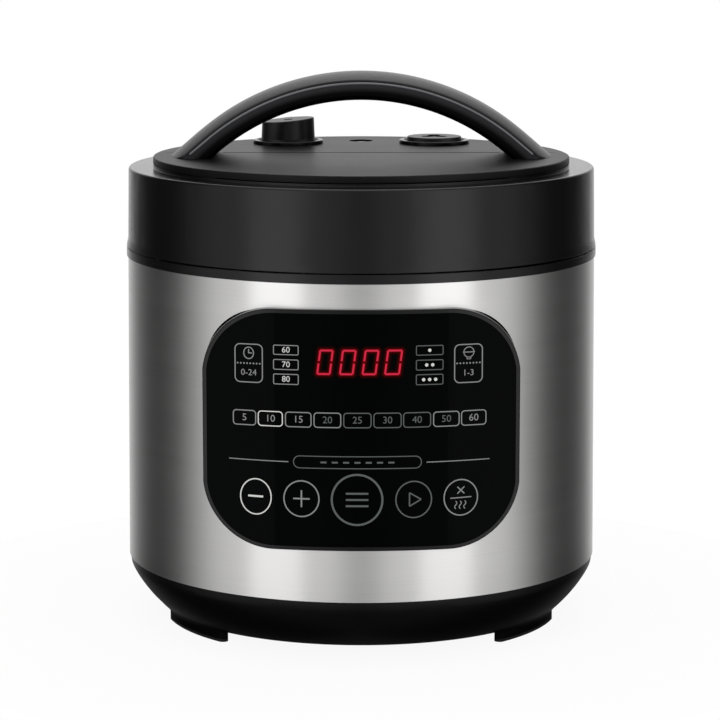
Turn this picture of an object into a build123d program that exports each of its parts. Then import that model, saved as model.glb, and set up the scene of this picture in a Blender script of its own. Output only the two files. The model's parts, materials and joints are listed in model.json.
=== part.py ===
"""Electric pressure cooker with a twist-lock lid, written as one named solid or group per piece.

Lengths are in millimetres. Z = 0 is the surface that the cooker stands on, the cooker's axis is
X = Y = 0, and its front, with the touch panel, faces -Y.
"""

from build123d import *
import math
import os

# ---- fits shared by many pieces
fit_gap = 0.3            # between a moving piece and its seat, and round a piece in its hole
face_gap = 0.1           # between a piece and the jacket that it lies on
screw_play = 0.2         # radial play of a screw in a clearance hole
pilot_play = 0.05        # radial play of a screw in its boss
head_width = 2.0         # a screw's head, as a multiple of its shank's radius
head_depth = 1.15        # the head's thickness, as the same multiple

# ---- cooking pot, which sets the size of everything round it
pot_r_in = 110.0
pot_wall = 1.5
pot_floor_t = 2.0
pot_rim_width = 8.0      # turned-out rim beyond the pot's wall
pot_corner = 14.0

# ---- pressure vessel
vessel_space = 2.0       # round the pot
vessel_wall = 1.2
vessel_corner = 10.0
vessel_floor_rise = 2.4  # underside of the vessel's floor above the base's top edge
vessel_rim_rise = 11.6   # vessel's flange up to the top of its teeth
tooth_count = 6
tooth_arc = 28.0
tooth_t = 1.6
tooth_depth = 6.6        # a tooth's reach inwards from the vessel's rim
tooth_ledge = 10.0       # vessel's wall out to the teeth's tips

# ---- heater
element_wire_r = 4.2
element_gap = 0.7        # below the heating element
element_bed = 0.4        # element's centre line below the plate's underside
element_inset = 27.0     # element's pitch circle inside the plate's edge
plate_inset = 18.5       # plate's edge inside the vessel's wall
plate_t = 9.0
sensor_r = 19.0
sensor_wall = 1.3
sensor_travel = 3.0

# ---- jacket, a slight cone, and the ring on top of it
jacket_height = 183.0
jacket_space = 9.1       # vessel's rim out to the jacket's upper edge
jacket_flare = 1.4       # how much wider the jacket is at its lower edge
jacket_wall = 0.8
ring_lap = 1.6           # ring beyond the jacket's upper edge
ring_band = 5.6          # height of the ring that shows
ring_shelf_drop = 13.6   # ring's top face down to the vessel's flange

# ---- base
base_height = 37.6       # standing plane to the jacket's lower edge
base_edge_inset = 0.3    # the base's top edge lies this far inside the jacket's face
base_tuck = 25.3         # how far the flank draws in to its foot
base_rim_z = 6.8         # height of the flank's foot
base_flank_r = 105.0     # radius of the flank's curve, in section
base_wall = 2.6
base_floor_z = 5.5       # underside of the base
spigot_height = 5.0      # the base's ring inside the jacket
bottom_plate_inset = 13.6
bottom_plate_t = 2.0
foot_overhang = 3.2      # foot ribs beyond the flank's foot
foot_width = 6.0
foot_start = 16.0        # each foot rib runs between these angles from the X axis
foot_end = 46.0
pad_t = 1.6              # rubber under each foot rib

# ---- lid
lid_gap = 0.5
skirt_height = 47.2
skirt_draw = 1.7         # skirt's upper edge inside the ring's face
bell_rise = 4.5          # height of the skirt's flared lower edge
bell_draw = 1.0          # how much the skirt draws in over that height
skirt_wall = 2.6
lid_plate_t = 2.6
shoulder_width = 14.8
collar_rise = 1.4
deck_groove = 0.4
deck_edge_height = 4.2
deck_wall = 2.4
deck_seam_y = 15.0
lid_steel_t = 1.6
lid_dome_rise = 21.8     # lugs' top up to the top of the steel lid's flat middle
lid_neck_inset = 5.5     # steel lid's neck inside its rim
lid_dome_inset = 11.5    # flat middle inside the neck
lug_gap = 0.4            # below the teeth
lug_tip_gap = 1.3        # lugs' tips inside the vessel's rim
lug_arc = 26.0
seal_lap = 2.6           # seal's inner edge beyond the pot's inner wall

# ---- arch handle, concentric arcs in the XZ plane with straight legs
handle_rise = 50.7       # crest above the deck
handle_margin = 10.63    # feet inside the deck's edge
handle_bend = 40.0       # the arcs end and the legs start this far from the top
handle_camber = 4.0      # crest above the edges of the upper half
handle_edge = 1.1        # upright edge of the upper half above the seam
handle_grip_t = 11.2     # lower half, below the seam
handle_seam_gap = 0.05
handle_half_width = 20.5
handle_foot_half_width = 28.0
handle_foot_corner = 18.0  # rounding of the feet's outer corners, in plan

# ---- fittings on the lid, at these angles from the X axis
fitting_inset = 34.95    # exhaust valve's and button's centres inside the deck's edge
valve_angle = 120.53
button_angle = 59.47
float_inset = 31.5       # float's centre inside the deck's edge, straight behind the handle
collar_height = 2.3
collar_lip = 2.0         # collar's edge beyond its sleeve
sleeve_wall = 1.6
knob_r = 16.4
knob_height = 14.2
knob_flare = 1.0
knob_gap = 1.0           # knob's foot to its collar
knob_tilt = 2.5          # slope of the knob's top, in degrees
pipe_r = 4.5
button_r = 18.0
button_gap = 0.4
button_travel = 3.5
float_head_r = 5.2
float_rod_r = 3.0
float_space = 2.3        # round the float's head, in the deck
float_travel = 5.0

# ---- touch panel
panel_width = 181.6
panel_foot_margin = 30.9 # panel's lower edge above the jacket's
panel_head_margin = 13.3 # panel's upper edge below the jacket's
panel_corner = 36.5
panel_curve_r = 221.0    # radius of its upright curve
panel_stand = 1.2        # panel's front in front of the jacket's foot
bezel_width = 2.3
window_lap = 2.0         # the pod's rim covers the jacket's opening by this much
glass_t = 2.2
glass_sink = 0.3
pod_depth = 25.0

# ---- inlet and drip cup at the back
inlet_rise = 26.4        # inlet's centre above the jacket's lower edge
inlet_stand = 1.8        # inlet's face beyond the jacket's foot
cup_width = 56.0
cup_depth = 21.0
cup_height = 40.0
cup_drop = 10.6          # cup's mouth below the ring
cup_wall = 1.6

# ---- radii that follow, from the pot outwards
pot_r_out = pot_r_in + pot_wall
pot_rim_r = pot_r_out + pot_rim_width
vessel_r_in = pot_r_out + vessel_space
vessel_r_out = vessel_r_in + vessel_wall
tooth_r_in = vessel_r_in + tooth_ledge
vessel_rim_in = tooth_r_in + tooth_depth
vessel_rim_r = vessel_rim_in + vessel_wall
jacket_high_r = vessel_rim_r + jacket_space
jacket_low_r = jacket_high_r + jacket_flare
ring_r = jacket_high_r + ring_lap
base_top_r = jacket_low_r - base_edge_inset
base_rim_r = base_top_r - base_tuck
bottom_plate_r = base_rim_r - bottom_plate_inset
foot_r_out = base_rim_r + foot_overhang
foot_r_in = foot_r_out - foot_width
skirt_high_r = ring_r - skirt_draw
bell_r = ring_r - bell_draw
collar_r = skirt_high_r - shoulder_width
lug_base_r = tooth_r_in - lug_gap
lug_r = vessel_rim_in - lug_tip_gap
lid_neck_r = lug_base_r - lid_neck_inset
lid_dome_r = lid_neck_r - lid_dome_inset
seal_r_in = pot_r_in + seal_lap
seal_r_out = pot_rim_r
plate_r = vessel_r_in - plate_inset
element_r = plate_r - element_inset

# ---- heights that follow, from the standing plane up
ring_low_z = base_height + jacket_height
ring_top_z = ring_low_z + ring_band
flange_low_z = ring_top_z - ring_shelf_drop
flange_top_z = flange_low_z + vessel_wall
teeth_top_z = flange_low_z + vessel_rim_rise
teeth_low_z = teeth_top_z - tooth_t
vessel_low_z = base_height + vessel_floor_rise
vessel_floor_z = vessel_low_z + vessel_wall
plate_low_z = vessel_floor_z + element_gap + element_wire_r + element_bed
plate_top_z = plate_low_z + plate_t
pot_low_z = plate_top_z + fit_gap
pot_rim_low_z = flange_top_z + fit_gap
pot_rim_top_z = pot_rim_low_z + pot_wall
lug_top_z = teeth_low_z - lug_gap
lug_low_z = lug_top_z - lid_steel_t
dome_top_z = lug_top_z + lid_dome_rise
dome_low_z = dome_top_z - lid_steel_t
skirt_low_z = ring_top_z + lid_gap
shoulder_z = skirt_low_z + skirt_height
lid_plate_low_z = shoulder_z - lid_plate_t
deck_low_z = shoulder_z + collar_rise + deck_groove
deck_z = deck_low_z + deck_edge_height
deck_under_z = deck_z - deck_wall
bottom_plate_top = base_floor_z + bottom_plate_t
panel_height = jacket_height - panel_foot_margin - panel_head_margin
panel_centre_z = base_height + panel_foot_margin + panel_height / 2
inlet_z = base_height + inlet_rise
cup_top_z = ring_low_z - cup_drop

# ---- panel's and inlet's places along Y
panel_front_y = -(jacket_low_r + panel_stand)
panel_curve_y = panel_front_y + panel_curve_r
glass_front_r = panel_curve_r - glass_sink
glass_back_r = glass_front_r - glass_t
pod_back_r = panel_curve_r - pod_depth
inlet_face_y = jacket_low_r + inlet_stand

# ---- the arch's radii, from its rise and the reach of its feet
handle_reach = collar_r - handle_margin
bend_turn = math.radians(handle_bend)
bend_share = math.sin(bend_turn) - (1 - math.cos(bend_turn)) / math.tan(bend_turn)
handle_crest_r = (handle_reach - handle_rise / math.tan(bend_turn)) / bend_share
handle_seam_r = handle_crest_r - handle_camber - handle_edge
handle_under_r = handle_seam_r - handle_grip_t
handle_axis_z = deck_z + handle_rise - handle_crest_r

# ---- sleeves of the collars, and the places of the fittings
valve_sleeve_r = knob_r + knob_flare + knob_gap
button_sleeve_r = button_r + button_gap
float_hole_r = float_head_r + float_space
valve_x = (collar_r - fitting_inset) * math.cos(math.radians(valve_angle))
valve_y = (collar_r - fitting_inset) * math.sin(math.radians(valve_angle))
button_x = (collar_r - fitting_inset) * math.cos(math.radians(button_angle))
button_y = (collar_r - fitting_inset) * math.sin(math.radians(button_angle))
float_x = 0.0
float_y = collar_r - float_inset


# ---- helpers
def at(radius, height):
    """Point of a section drawn in the XZ plane."""
    return (radius, 0, height)


def outline(corners, radii=None):
    """Closed face from (radius, height) corners, with a rounding radius for each corner."""
    points = [at(*corner) for corner in corners]
    if radii is None:
        return make_face(Polyline(*points, close=True))
    return make_face(FilletPolyline(*points, radius=radii, close=True))


def lathe(corners, radii=None):
    """Full turn of an outline about Z."""
    return revolve(outline(corners, radii), axis=Axis.Z)


def arc_block(corners, start, sweep, radii=None):
    """Part turn of an outline about Z, from the start angle through the sweep."""
    return Rot(0, 0, start) * revolve(outline(corners, radii), axis=Axis.Z, revolution_arc=sweep)


def rod(radius, low, high, x=0.0, y=0.0):
    """Upright cylinder."""
    return Pos(x, y, low) * Cylinder(radius, high - low, align=(Align.CENTER, Align.CENTER, Align.MIN))


def block(x_range, y_range, z_range):
    """Box between its lower and upper limits."""
    size = [high - low for low, high in (x_range, y_range, z_range)]
    corner = [low for low, high in (x_range, y_range, z_range)]
    return Pos(*corner) * Box(*size, align=(Align.MIN, Align.MIN, Align.MIN))


def tube(inner, outer, low, high, x=0.0, y=0.0):
    """Upright hollow cylinder."""
    return rod(outer, low, high, x, y) - rod(inner, low, high, x, y)


def screw(shank_r, seat, tip, x, y):
    """Round-headed screw whose head rests on the seat height and whose point is at the tip height."""
    rise = (1 if tip < seat else -1) * head_depth * shank_r
    head = rod(head_width * shank_r, min(seat, seat + rise), max(seat, seat + rise), x, y)
    return head + rod(shank_r, min(seat, tip), max(seat, tip), x, y)


def coil(mean_r, wire_r, low, high, turns, x=0.0, y=0.0):
    """Compression spring between two heights, its wire's surface touching both."""
    rise = high - low - 2 * wire_r
    path = Helix(pitch=rise / turns, height=rise, radius=mean_r)
    wire = Plane(path @ 0, z_dir=path % 0) * Circle(wire_r)
    return Pos(x, y, low + wire_r) * sweep(wire, path=path, is_frenet=True)


def polar(radius, angle):
    """XY place at a radius and an angle in degrees."""
    return radius * math.cos(math.radians(angle)), radius * math.sin(math.radians(angle))


def jacket_cone(offset=0.0):
    """Solid cone whose side is the jacket's outer face, moved outwards by the offset."""
    slope = (jacket_high_r - jacket_low_r) / jacket_height
    low, high = base_height - 20.0, ring_low_z + 20.0
    low_r = jacket_low_r + slope * (low - base_height) + offset
    high_r = jacket_low_r + slope * (high - base_height) + offset
    return lathe([(0, low), (low_r, low), (high_r, high), (0, high)])


# ---- base
def flank(height, inset=0.0):
    """Radius of the base's curved flank at a height, or of the curve inset from it."""
    run, rise = base_top_r - base_rim_r, base_height - base_rim_z
    chord = math.hypot(run, rise)
    reach = math.sqrt(base_flank_r**2 - (chord / 2) ** 2)
    centre_r = (base_top_r + base_rim_r) / 2 - reach * rise / chord
    centre_z = (base_height + base_rim_z) / 2 + reach * run / chord
    return centre_r + math.sqrt((base_flank_r - inset) ** 2 - (height - centre_z) ** 2)


def base_shell_wall():
    """The base's flank, floor flange and the ring that enters the jacket, as one section."""
    spigot_r = jacket_low_r - jacket_wall - fit_gap
    spigot_top = base_height + spigot_height
    floor_top = base_floor_z + base_wall
    inner_top = base_height - base_wall
    flange_r = bottom_plate_r + fit_gap
    mid = (base_height + base_rim_z) / 2
    inner_mid = (inner_top + floor_top) / 2
    rim_step = base_rim_z - base_floor_z
    edges = [
        ThreePointArc(at(base_top_r, base_height), at(flank(mid), mid), at(base_rim_r, base_rim_z)),
        Line(at(base_rim_r, base_rim_z), at(base_rim_r - 2 * rim_step, base_floor_z)),
        Line(at(base_rim_r - 2 * rim_step, base_floor_z), at(flange_r, base_floor_z)),
        Line(at(flange_r, base_floor_z), at(flange_r, floor_top)),
        Line(at(flange_r, floor_top), at(flank(floor_top, base_wall), floor_top)),
        ThreePointArc(
            at(flank(floor_top, base_wall), floor_top),
            at(flank(inner_mid, base_wall), inner_mid),
            at(flank(inner_top, base_wall), inner_top),
        ),
        Line(at(flank(inner_top, base_wall), inner_top), at(spigot_r - base_wall, spigot_top)),
        Line(at(spigot_r - base_wall, spigot_top), at(spigot_r, spigot_top)),
        Line(at(spigot_r, spigot_top), at(spigot_r, base_height)),
        Line(at(spigot_r, base_height), at(base_top_r, base_height)),
    ]
    return revolve(make_face(edges), axis=Axis.Z)


foot_starts = [foot_start, 180 - foot_end, 180 + foot_start, 360 - foot_end]
foot_sweep = foot_end - foot_start


def foot_round_angles():
    """Angles of the rounded ends of the four foot ribs."""
    return [foot_end, 180 - foot_end, 180 + foot_end, 360 - foot_end]


def foot_rib(start):
    """Arc-shaped rib under the base, its upper edge buried in the flank."""
    buried = base_floor_z + base_wall / 2
    meets = base_rim_z + foot_overhang
    corners = [
        (foot_r_in, pad_t),
        (foot_r_out, pad_t),
        (foot_r_out, meets),
        (foot_r_in, buried),
    ]
    return arc_block(corners, start, foot_sweep)


def foot_round(angle, low, high):
    """Rounded end of a foot rib or of its pad."""
    x, y = polar((foot_r_in + foot_r_out) / 2, angle)
    return rod((foot_r_out - foot_r_in) / 2, low, high, x, y)


base_boss_r = 5.0
base_boss_height = 22.0
base_boss_angles = [45, 135, 225, 315]
base_screw_inset = 10.6                  # inside the bottom plate's edge
base_screw_r = bottom_plate_r - base_screw_inset
spring_boss_inset = 12.6
spring_boss_x = bottom_plate_r - spring_boss_inset
spring_boss_r = 7.0
spring_plate_t = 1.5
spring_plate_drop = 10.0
spring_plate_low = vessel_low_z - spring_plate_drop
base_screw_shank = 1.7
base_screw_length = 12.0


def base_web(radius, angle, top):
    """Upright web from a boss out to the flank."""
    low = base_floor_z + base_wall / 2
    steps = [low + (top - low) * share for share in (0, 0.25, 0.5, 0.75, 1)]
    corners = [(flank(height, base_wall / 2), height) for height in steps]
    web = extrude(outline([(radius, low)] + corners + [(radius, top)]), amount=1.2, both=True)
    return Rot(0, 0, angle) * web


def base_shell():
    """Tapered base with its foot ribs and the bosses inside."""
    shell = base_shell_wall()
    for start in foot_starts:
        shell += foot_rib(start)
    for angle in foot_round_angles():
        shell += foot_round(angle, pad_t, base_floor_z + base_wall / 2)
    boss_top = bottom_plate_top + base_boss_height
    for angle in base_boss_angles:
        x, y = polar(base_screw_r, angle)
        shell += base_web(base_screw_r, angle, boss_top)
        shell += rod(base_boss_r, bottom_plate_top, boss_top, x, y)
    for angle in (0, 180):
        x, y = polar(spring_boss_x, angle)
        shell += base_web(spring_boss_x, angle, spring_plate_low)
        shell += rod(spring_boss_r, bottom_plate_top + fit_gap, spring_plate_low, x, y)
    shell -= rod(bottom_plate_r + fit_gap, 0, bottom_plate_top)
    for angle in base_boss_angles:
        x, y = polar(base_screw_r, angle)
        shell -= rod(base_screw_shank + pilot_play, base_floor_z, bottom_plate_top + base_screw_length + 1, x, y)
    for side in (-1, 1):
        x = side * spring_boss_x
        shell -= rod(bar_screw_shank + pilot_play, spring_plate_low - bar_screw_length - 1, spring_plate_low, x)
    return shell


vent_length = 24.0
vent_width = 3.2
vent_rows = [(44.0, 10), (74.0, 18)]     # pitch radius and number of vents, clear of the bosses


def bottom_plate():
    """Vented disc that closes the base."""
    plate = rod(bottom_plate_r, base_floor_z, bottom_plate_top)
    for radius, count in vent_rows:
        slot = extrude(SlotOverall(vent_length, vent_width), amount=bottom_plate_top)
        for index in range(count):
            plate -= Rot(0, 0, (index + 0.5) * 360 / count) * Pos(radius, 0, 0) * slot
    for angle in base_boss_angles:
        x, y = polar(base_screw_r, angle)
        plate -= rod(base_screw_shank + screw_play, 0, bottom_plate_top, x, y)
    return plate


def foot_pads():
    """Rubber strip under each foot rib."""
    pads = []
    for start, angle in zip(foot_starts, foot_round_angles()):
        corners = [(foot_r_in, 0), (foot_r_out, 0), (foot_r_out, pad_t), (foot_r_in, pad_t)]
        pads.append(arc_block(corners, start, foot_sweep) + foot_round(angle, 0, pad_t))
    return Compound(children=[pad.solid() for pad in pads])


def base_screws():
    """Four screws of the bottom plate."""
    tip = bottom_plate_top + base_screw_length
    places = [polar(base_screw_r, angle) for angle in base_boss_angles]
    return group(screw(base_screw_shank, base_floor_z, tip, x, y) for x, y in places)


def group(pieces):
    """Several separate solids as one node."""
    return Compound(children=[solid for piece in pieces for solid in piece.solids()])


# ---- pressure sensing and electrics in the base
bar_width = 22.0
bar_ring_in = 26.0
bar_ring_out = 46.0
bar_post_r = 3.5
bar_screw_shank = 1.9
bar_screw_length = 10.0
switch_x = 62.0
switch_half_x = 10.0
switch_half_y = 5.0
switch_foot = 2.0        # its foot beyond its body
switch_stroke = 3.5      # body below the bar


def pressure_spring_plate():
    """Sprung steel bar with a ring and four posts that carry the vessel's floor."""
    top = spring_plate_low + spring_plate_t
    half = spring_boss_x + spring_boss_r
    bar = block((-half, half), (-bar_width / 2, bar_width / 2), (spring_plate_low, top))
    bar += rod(bar_ring_out, spring_plate_low, top)
    bar -= rod(bar_ring_in, spring_plate_low - 1, top + 1)
    for angle in (45, 135, 225, 315):
        x, y = polar((bar_ring_in + bar_ring_out) / 2, angle)
        bar += rod(bar_post_r, top, vessel_low_z, x, y)
    for side in (-1, 1):
        bar -= rod(bar_screw_shank + screw_play, spring_plate_low - 1, top + 1, side * spring_boss_x)
    return bar


def bar_screws():
    """Two screws that hold the sprung bar to the base."""
    seat = spring_plate_low + spring_plate_t
    tip = spring_plate_low - bar_screw_length
    return group(screw(bar_screw_shank, seat, tip, side * spring_boss_x, 0) for side in (-1, 1))


def pressure_switch():
    """Micro-switch on its foot below the sprung bar."""
    foot_top = bottom_plate_top + 2 * switch_foot
    body_top = spring_plate_low - switch_stroke
    foot_x, foot_y = switch_half_x + switch_foot, switch_half_y + switch_foot
    switch = block((switch_x - foot_x, switch_x + foot_x), (-foot_y, foot_y), (bottom_plate_top, foot_top))
    switch += block(
        (switch_x - switch_half_x, switch_x + switch_half_x), (-switch_half_y, switch_half_y), (foot_top, body_top)
    )
    switch += rod(1.6, body_top, spring_plate_low - fit_gap, switch_x + 4)
    return switch


fuse_y = -62.0
fuse_r = 2.2
fuse_length = 24.0
fuse_foot = 4.0          # half the width of its saddle


def thermal_fuse():
    """Fuse under the vessel's floor, with the saddle that holds it there."""
    centre_z = vessel_low_z - 2 * fuse_r
    barrel = Pos(0, fuse_y, centre_z) * Rot(0, 90, 0) * Cylinder(fuse_r, fuse_length)
    reach = fuse_foot + 1
    saddle = block((-fuse_foot, fuse_foot), (fuse_y - reach, fuse_y + reach), (vessel_low_z - 1.2, vessel_low_z))
    saddle += block((-fuse_foot, fuse_foot), (fuse_y - 1.5, fuse_y + 1.5), (centre_z, vessel_low_z))
    return barrel + saddle


board_x = 40.0
board_depth = 40.0
board_y_low = bar_ring_out + 4.0
board_y_high = board_y_low + board_depth
board_lift = 5.0
board_t = 1.6
relay_height = 13.0
coil_height = 14.0


def power_board():
    """Mains board on four spacers, with its relay, capacitor and transformer."""
    low = bottom_plate_top + board_lift
    top = low + board_t
    board = block((-board_x, board_x), (board_y_low, board_y_high), (low, top))
    board += block((-34, -12), (board_y_low + 4, board_y_low + 20), (top, top + relay_height))
    board += block((8, 32), (board_y_low + 8, board_y_low + 26), (top, top + coil_height))
    board += rod(5.0, top, top + relay_height, -20, board_y_high - 9)
    board += rod(3.0, top, top + relay_height / 2, 0, board_y_low + 10)
    for x in (-board_x + 4, board_x - 4):
        for y in (board_y_low + 4, board_y_high - 4):
            board += rod(2.4, bottom_plate_top, low, x, y)
    return board


# ---- jacket and upper ring
inlet_throat_width = 31.0
inlet_throat_height = 23.0
inlet_screw_x = 21.0
inlet_screw_shank = 1.6


def panel_prism(inset, near, far):
    """Rounded rectangle of the panel's outline, moved inwards and run along Y from near to far."""
    sketch = RectangleRounded(panel_width - 2 * inset, panel_height - 2 * inset, panel_corner - inset)
    return Pos(0, far, panel_centre_z) * extrude(Plane.XZ * sketch, amount=far - near)


def steel_shell():
    """Brushed-steel jacket with the openings behind the panel and for the inlet."""
    jacket = jacket_cone() - jacket_cone(-jacket_wall)
    jacket = jacket & rod(2 * jacket_low_r, base_height, ring_low_z)
    jacket -= panel_prism(window_lap, 2 * panel_front_y, 0)
    half_width = inlet_throat_width / 2 + fit_gap
    half_height = inlet_throat_height / 2 + fit_gap
    jacket -= block((-half_width, half_width), (0, 2 * inlet_face_y), (inlet_z - half_height, inlet_z + half_height))
    for side in (-1, 1):
        hole = Pos(side * inlet_screw_x, inlet_face_y, inlet_z) * Rot(90, 0, 0)
        jacket -= hole * Cylinder(inlet_screw_shank + screw_play, 2 * inlet_body_depth)
    return jacket


ring_tongue_t = 2.1
ring_tongue_length = 14.0
ring_well_t = 2.2
ring_roof_t = 2.6
shelf_width = 12.3       # vessel's rim inwards
shelf_t = 2.6
shelf_r_in = vessel_rim_r - shelf_width
vessel_screw_inset = 6.3 # inside the vessel's rim
vessel_screw_r = vessel_rim_r - vessel_screw_inset
vessel_screw_shank = 1.7
vessel_screw_length = 9.0
ring_boss_r = 4.2
vessel_screw_angles = [30, 150, 210, 330]
spout_half_width = 8.0
spout_reach = 9.0
spout_wall = 1.9
notch_depth = 6.0
spout_low_z = ring_low_z - 4.0


def upper_ring():
    """Ring that caps the jacket and carries the vessel's flange, with a drain notch behind."""
    well_r = vessel_rim_r + fit_gap
    tongue_r = jacket_high_r - jacket_wall - fit_gap
    shelf_low = flange_low_z - shelf_t
    corners = [
        (ring_r, ring_low_z),
        (ring_r, ring_top_z),
        (well_r, ring_top_z),
        (well_r, flange_low_z),
        (shelf_r_in, flange_low_z),
        (shelf_r_in, shelf_low),
        (well_r + ring_well_t, shelf_low),
        (well_r + ring_well_t, ring_top_z - ring_roof_t),
        (tongue_r - ring_tongue_t, ring_top_z - ring_roof_t),
        (tongue_r - ring_tongue_t, ring_low_z - ring_tongue_length),
        (tongue_r, ring_low_z - ring_tongue_length),
        (tongue_r, ring_low_z),
    ]
    ring = lathe(corners, [0.5, 0.8, 0.8, 0, 0.8, 0.8, 0, 0, 0, 0.4, 0.4, 0])
    for angle in vessel_screw_angles:
        x, y = polar(vessel_screw_r, angle)
        ring += rod(ring_boss_r, flange_low_z - vessel_screw_length - 2, shelf_low, x, y)
        ring -= rod(vessel_screw_shank + pilot_play, flange_low_z - vessel_screw_length - 1, flange_low_z, x, y)
    return ring - drain_channel()


def drain_spout():
    """Small chute on the back of the ring, above the drip cup."""
    far = ring_r + spout_reach
    spout = block((-spout_half_width, spout_half_width), (0, far), (spout_low_z, ring_top_z - 1))
    spout -= rod(ring_r, spout_low_z - 1, ring_top_z)
    return spout - drain_channel()


def drain_channel():
    """Groove from the ring's top into the spout, with its outlet over the cup."""
    half = spout_half_width - spout_wall
    far = ring_r + spout_reach - spout_wall
    channel = block((-half, half), (ring_r - notch_depth, far), (ring_low_z + 1.2, ring_top_z + 1))
    return channel + block((-half, half), (ring_r + 2.5, far), (spout_low_z - 1, ring_top_z + 1))


# ---- pressure vessel, pot and heater
vessel_hole_r = 9.0
terminal_angle_half = 10.0
terminal_hole_r = 5.5
terminal_r = 1.6
terminal_drop = 7.0      # pins' ends below the vessel's floor
plate_foot_r = 4.5
plate_foot_inset = 8.0


def terminal_places():
    """XY places of the two ends of the heating element."""
    return [polar(element_r, 90 - terminal_angle_half), polar(element_r, 90 + terminal_angle_half)]


def outer_pot():
    """Pressed vessel with its flange, rim and inward bayonet teeth."""
    corners = [
        (vessel_hole_r, vessel_low_z),
        (vessel_r_out, vessel_low_z),
        (vessel_r_out, flange_low_z),
        (vessel_rim_r, flange_low_z),
        (vessel_rim_r, teeth_top_z),
        (vessel_rim_in, teeth_top_z),
        (vessel_rim_in, flange_top_z),
        (vessel_r_in, flange_top_z),
        (vessel_r_in, vessel_floor_z),
        (vessel_hole_r, vessel_floor_z),
    ]
    pot = lathe(corners, [0, vessel_corner, 0.6, 1.5, 0, 0, 0.3, 1.5, vessel_corner - vessel_wall, 0])
    pot += teeth()
    for angle in vessel_screw_angles:
        x, y = polar(vessel_screw_r, angle)
        pot -= rod(vessel_screw_shank + screw_play, flange_low_z - 1, flange_top_z + 1, x, y)
    for x, y in terminal_places():
        pot -= rod(terminal_hole_r, vessel_low_z - 1, vessel_floor_z + 1, x, y)
    return pot


def teeth():
    """Inward teeth of the bayonet lock, each with a lead-in slope on its underside."""
    ramp = 0.5
    corners = [
        (tooth_r_in, teeth_low_z + ramp),
        (tooth_r_in + 1.2, teeth_low_z),
        (vessel_rim_r - vessel_wall / 2, teeth_low_z),
        (vessel_rim_r - vessel_wall / 2, teeth_top_z),
        (tooth_r_in, teeth_top_z),
    ]
    pitch = 360 / tooth_count
    return [arc_block(corners, index * pitch - tooth_arc / 2, tooth_arc) for index in range(tooth_count)]


def outer_pot_screws():
    """Screws of the vessel's flange."""
    places = [polar(vessel_screw_r, angle) for angle in vessel_screw_angles]
    tip = flange_low_z - vessel_screw_length
    return group(screw(vessel_screw_shank, flange_top_z, tip, x, y) for x, y in places)


def inner_pot():
    """Lift-out cooking pot with a turned-out rim."""
    corners = [
        (0, pot_low_z),
        (pot_r_out, pot_low_z),
        (pot_r_out, pot_rim_low_z),
        (pot_rim_r, pot_rim_low_z),
        (pot_rim_r, pot_rim_top_z),
        (pot_r_in, pot_rim_top_z),
        (pot_r_in, pot_low_z + pot_floor_t),
        (0, pot_low_z + pot_floor_t),
    ]
    return lathe(corners, [0, pot_corner, 0.8, 0.7, 0.7, 2.2, pot_corner - pot_wall, 0])


def heating_plate():
    """Cast plate with its bedded element ring and three feet on the vessel's floor."""
    corners = [
        (sensor_r + 0.6, plate_low_z),
        (plate_r, plate_low_z),
        (plate_r, plate_top_z),
        (sensor_r + 0.6, plate_top_z),
    ]
    plate = lathe(corners, [0, 3, 1.5, 0.8])
    ring = Plane.XZ * Pos(element_r, plate_low_z - element_bed) * Circle(element_wire_r)
    sweep_arc = 360 - 2 * terminal_angle_half
    element = Rot(0, 0, 90 + terminal_angle_half) * revolve(ring, axis=Axis.Z, revolution_arc=sweep_arc)
    plate += element
    for angle in (30, 150, 270):
        x, y = polar(plate_r - plate_foot_inset, angle)
        plate += rod(plate_foot_r, vessel_floor_z, plate_low_z + 1, x, y)
    for x, y in terminal_places():
        plate -= rod(terminal_r + 0.6, vessel_low_z, plate_low_z, x, y)
    return plate


def heater_terminals():
    """Terminal pins of the element, each with its ceramic bead in the vessel's floor."""
    pins = []
    for x, y in terminal_places():
        pin = rod(terminal_r, vessel_low_z - terminal_drop, plate_low_z, x, y)
        pin += rod(terminal_hole_r - fit_gap, vessel_low_z - 1, vessel_floor_z, x, y)
        pin += rod(terminal_hole_r / 2, vessel_low_z - 3, vessel_low_z - 1, x, y)
        pins.append(pin)
    return group(pins)


sensor_stem_r = 4.0
sensor_coil_r = 12.5
sensor_wire_r = 0.7


def sensor_cap():
    """Sprung cap that touches the pot's floor, with the thermostat's stem."""
    inner = sensor_r - sensor_wall
    stem_low = vessel_low_z - sensor_travel - 1
    corners = [
        (0, stem_low),
        (sensor_stem_r, stem_low),
        (sensor_stem_r, plate_top_z - sensor_wall),
        (inner, plate_top_z - sensor_wall),
        (inner, plate_low_z),
        (sensor_r, plate_low_z),
        (sensor_r, plate_top_z),
        (0, plate_top_z),
    ]
    return lathe(corners, [0, 0, 0, 0.8, 0, 0, 1.2, 0])


def sensor_spring():
    """Spring below the thermostat cap."""
    return coil(sensor_coil_r, sensor_wire_r, vessel_floor_z, plate_top_z - sensor_wall, 4)


# ---- touch panel
pod_ledge = 4.5          # width of the ledge behind the glass
pod_ledge_t = 2.0
pod_wall = 2.2
pod_back_wall = 2.0
board_depth_y = 18.4     # control board's face behind the panel's front
control_board_y = panel_front_y + board_depth_y
pod_near_y = panel_front_y - 2.0
pod_far_y = panel_front_y + panel_width / 2


def panel_drum(radius):
    """Upright cylinder about the panel's curve."""
    return rod(radius, panel_centre_z - panel_height, panel_centre_z + panel_height, 0, panel_curve_y)


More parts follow.
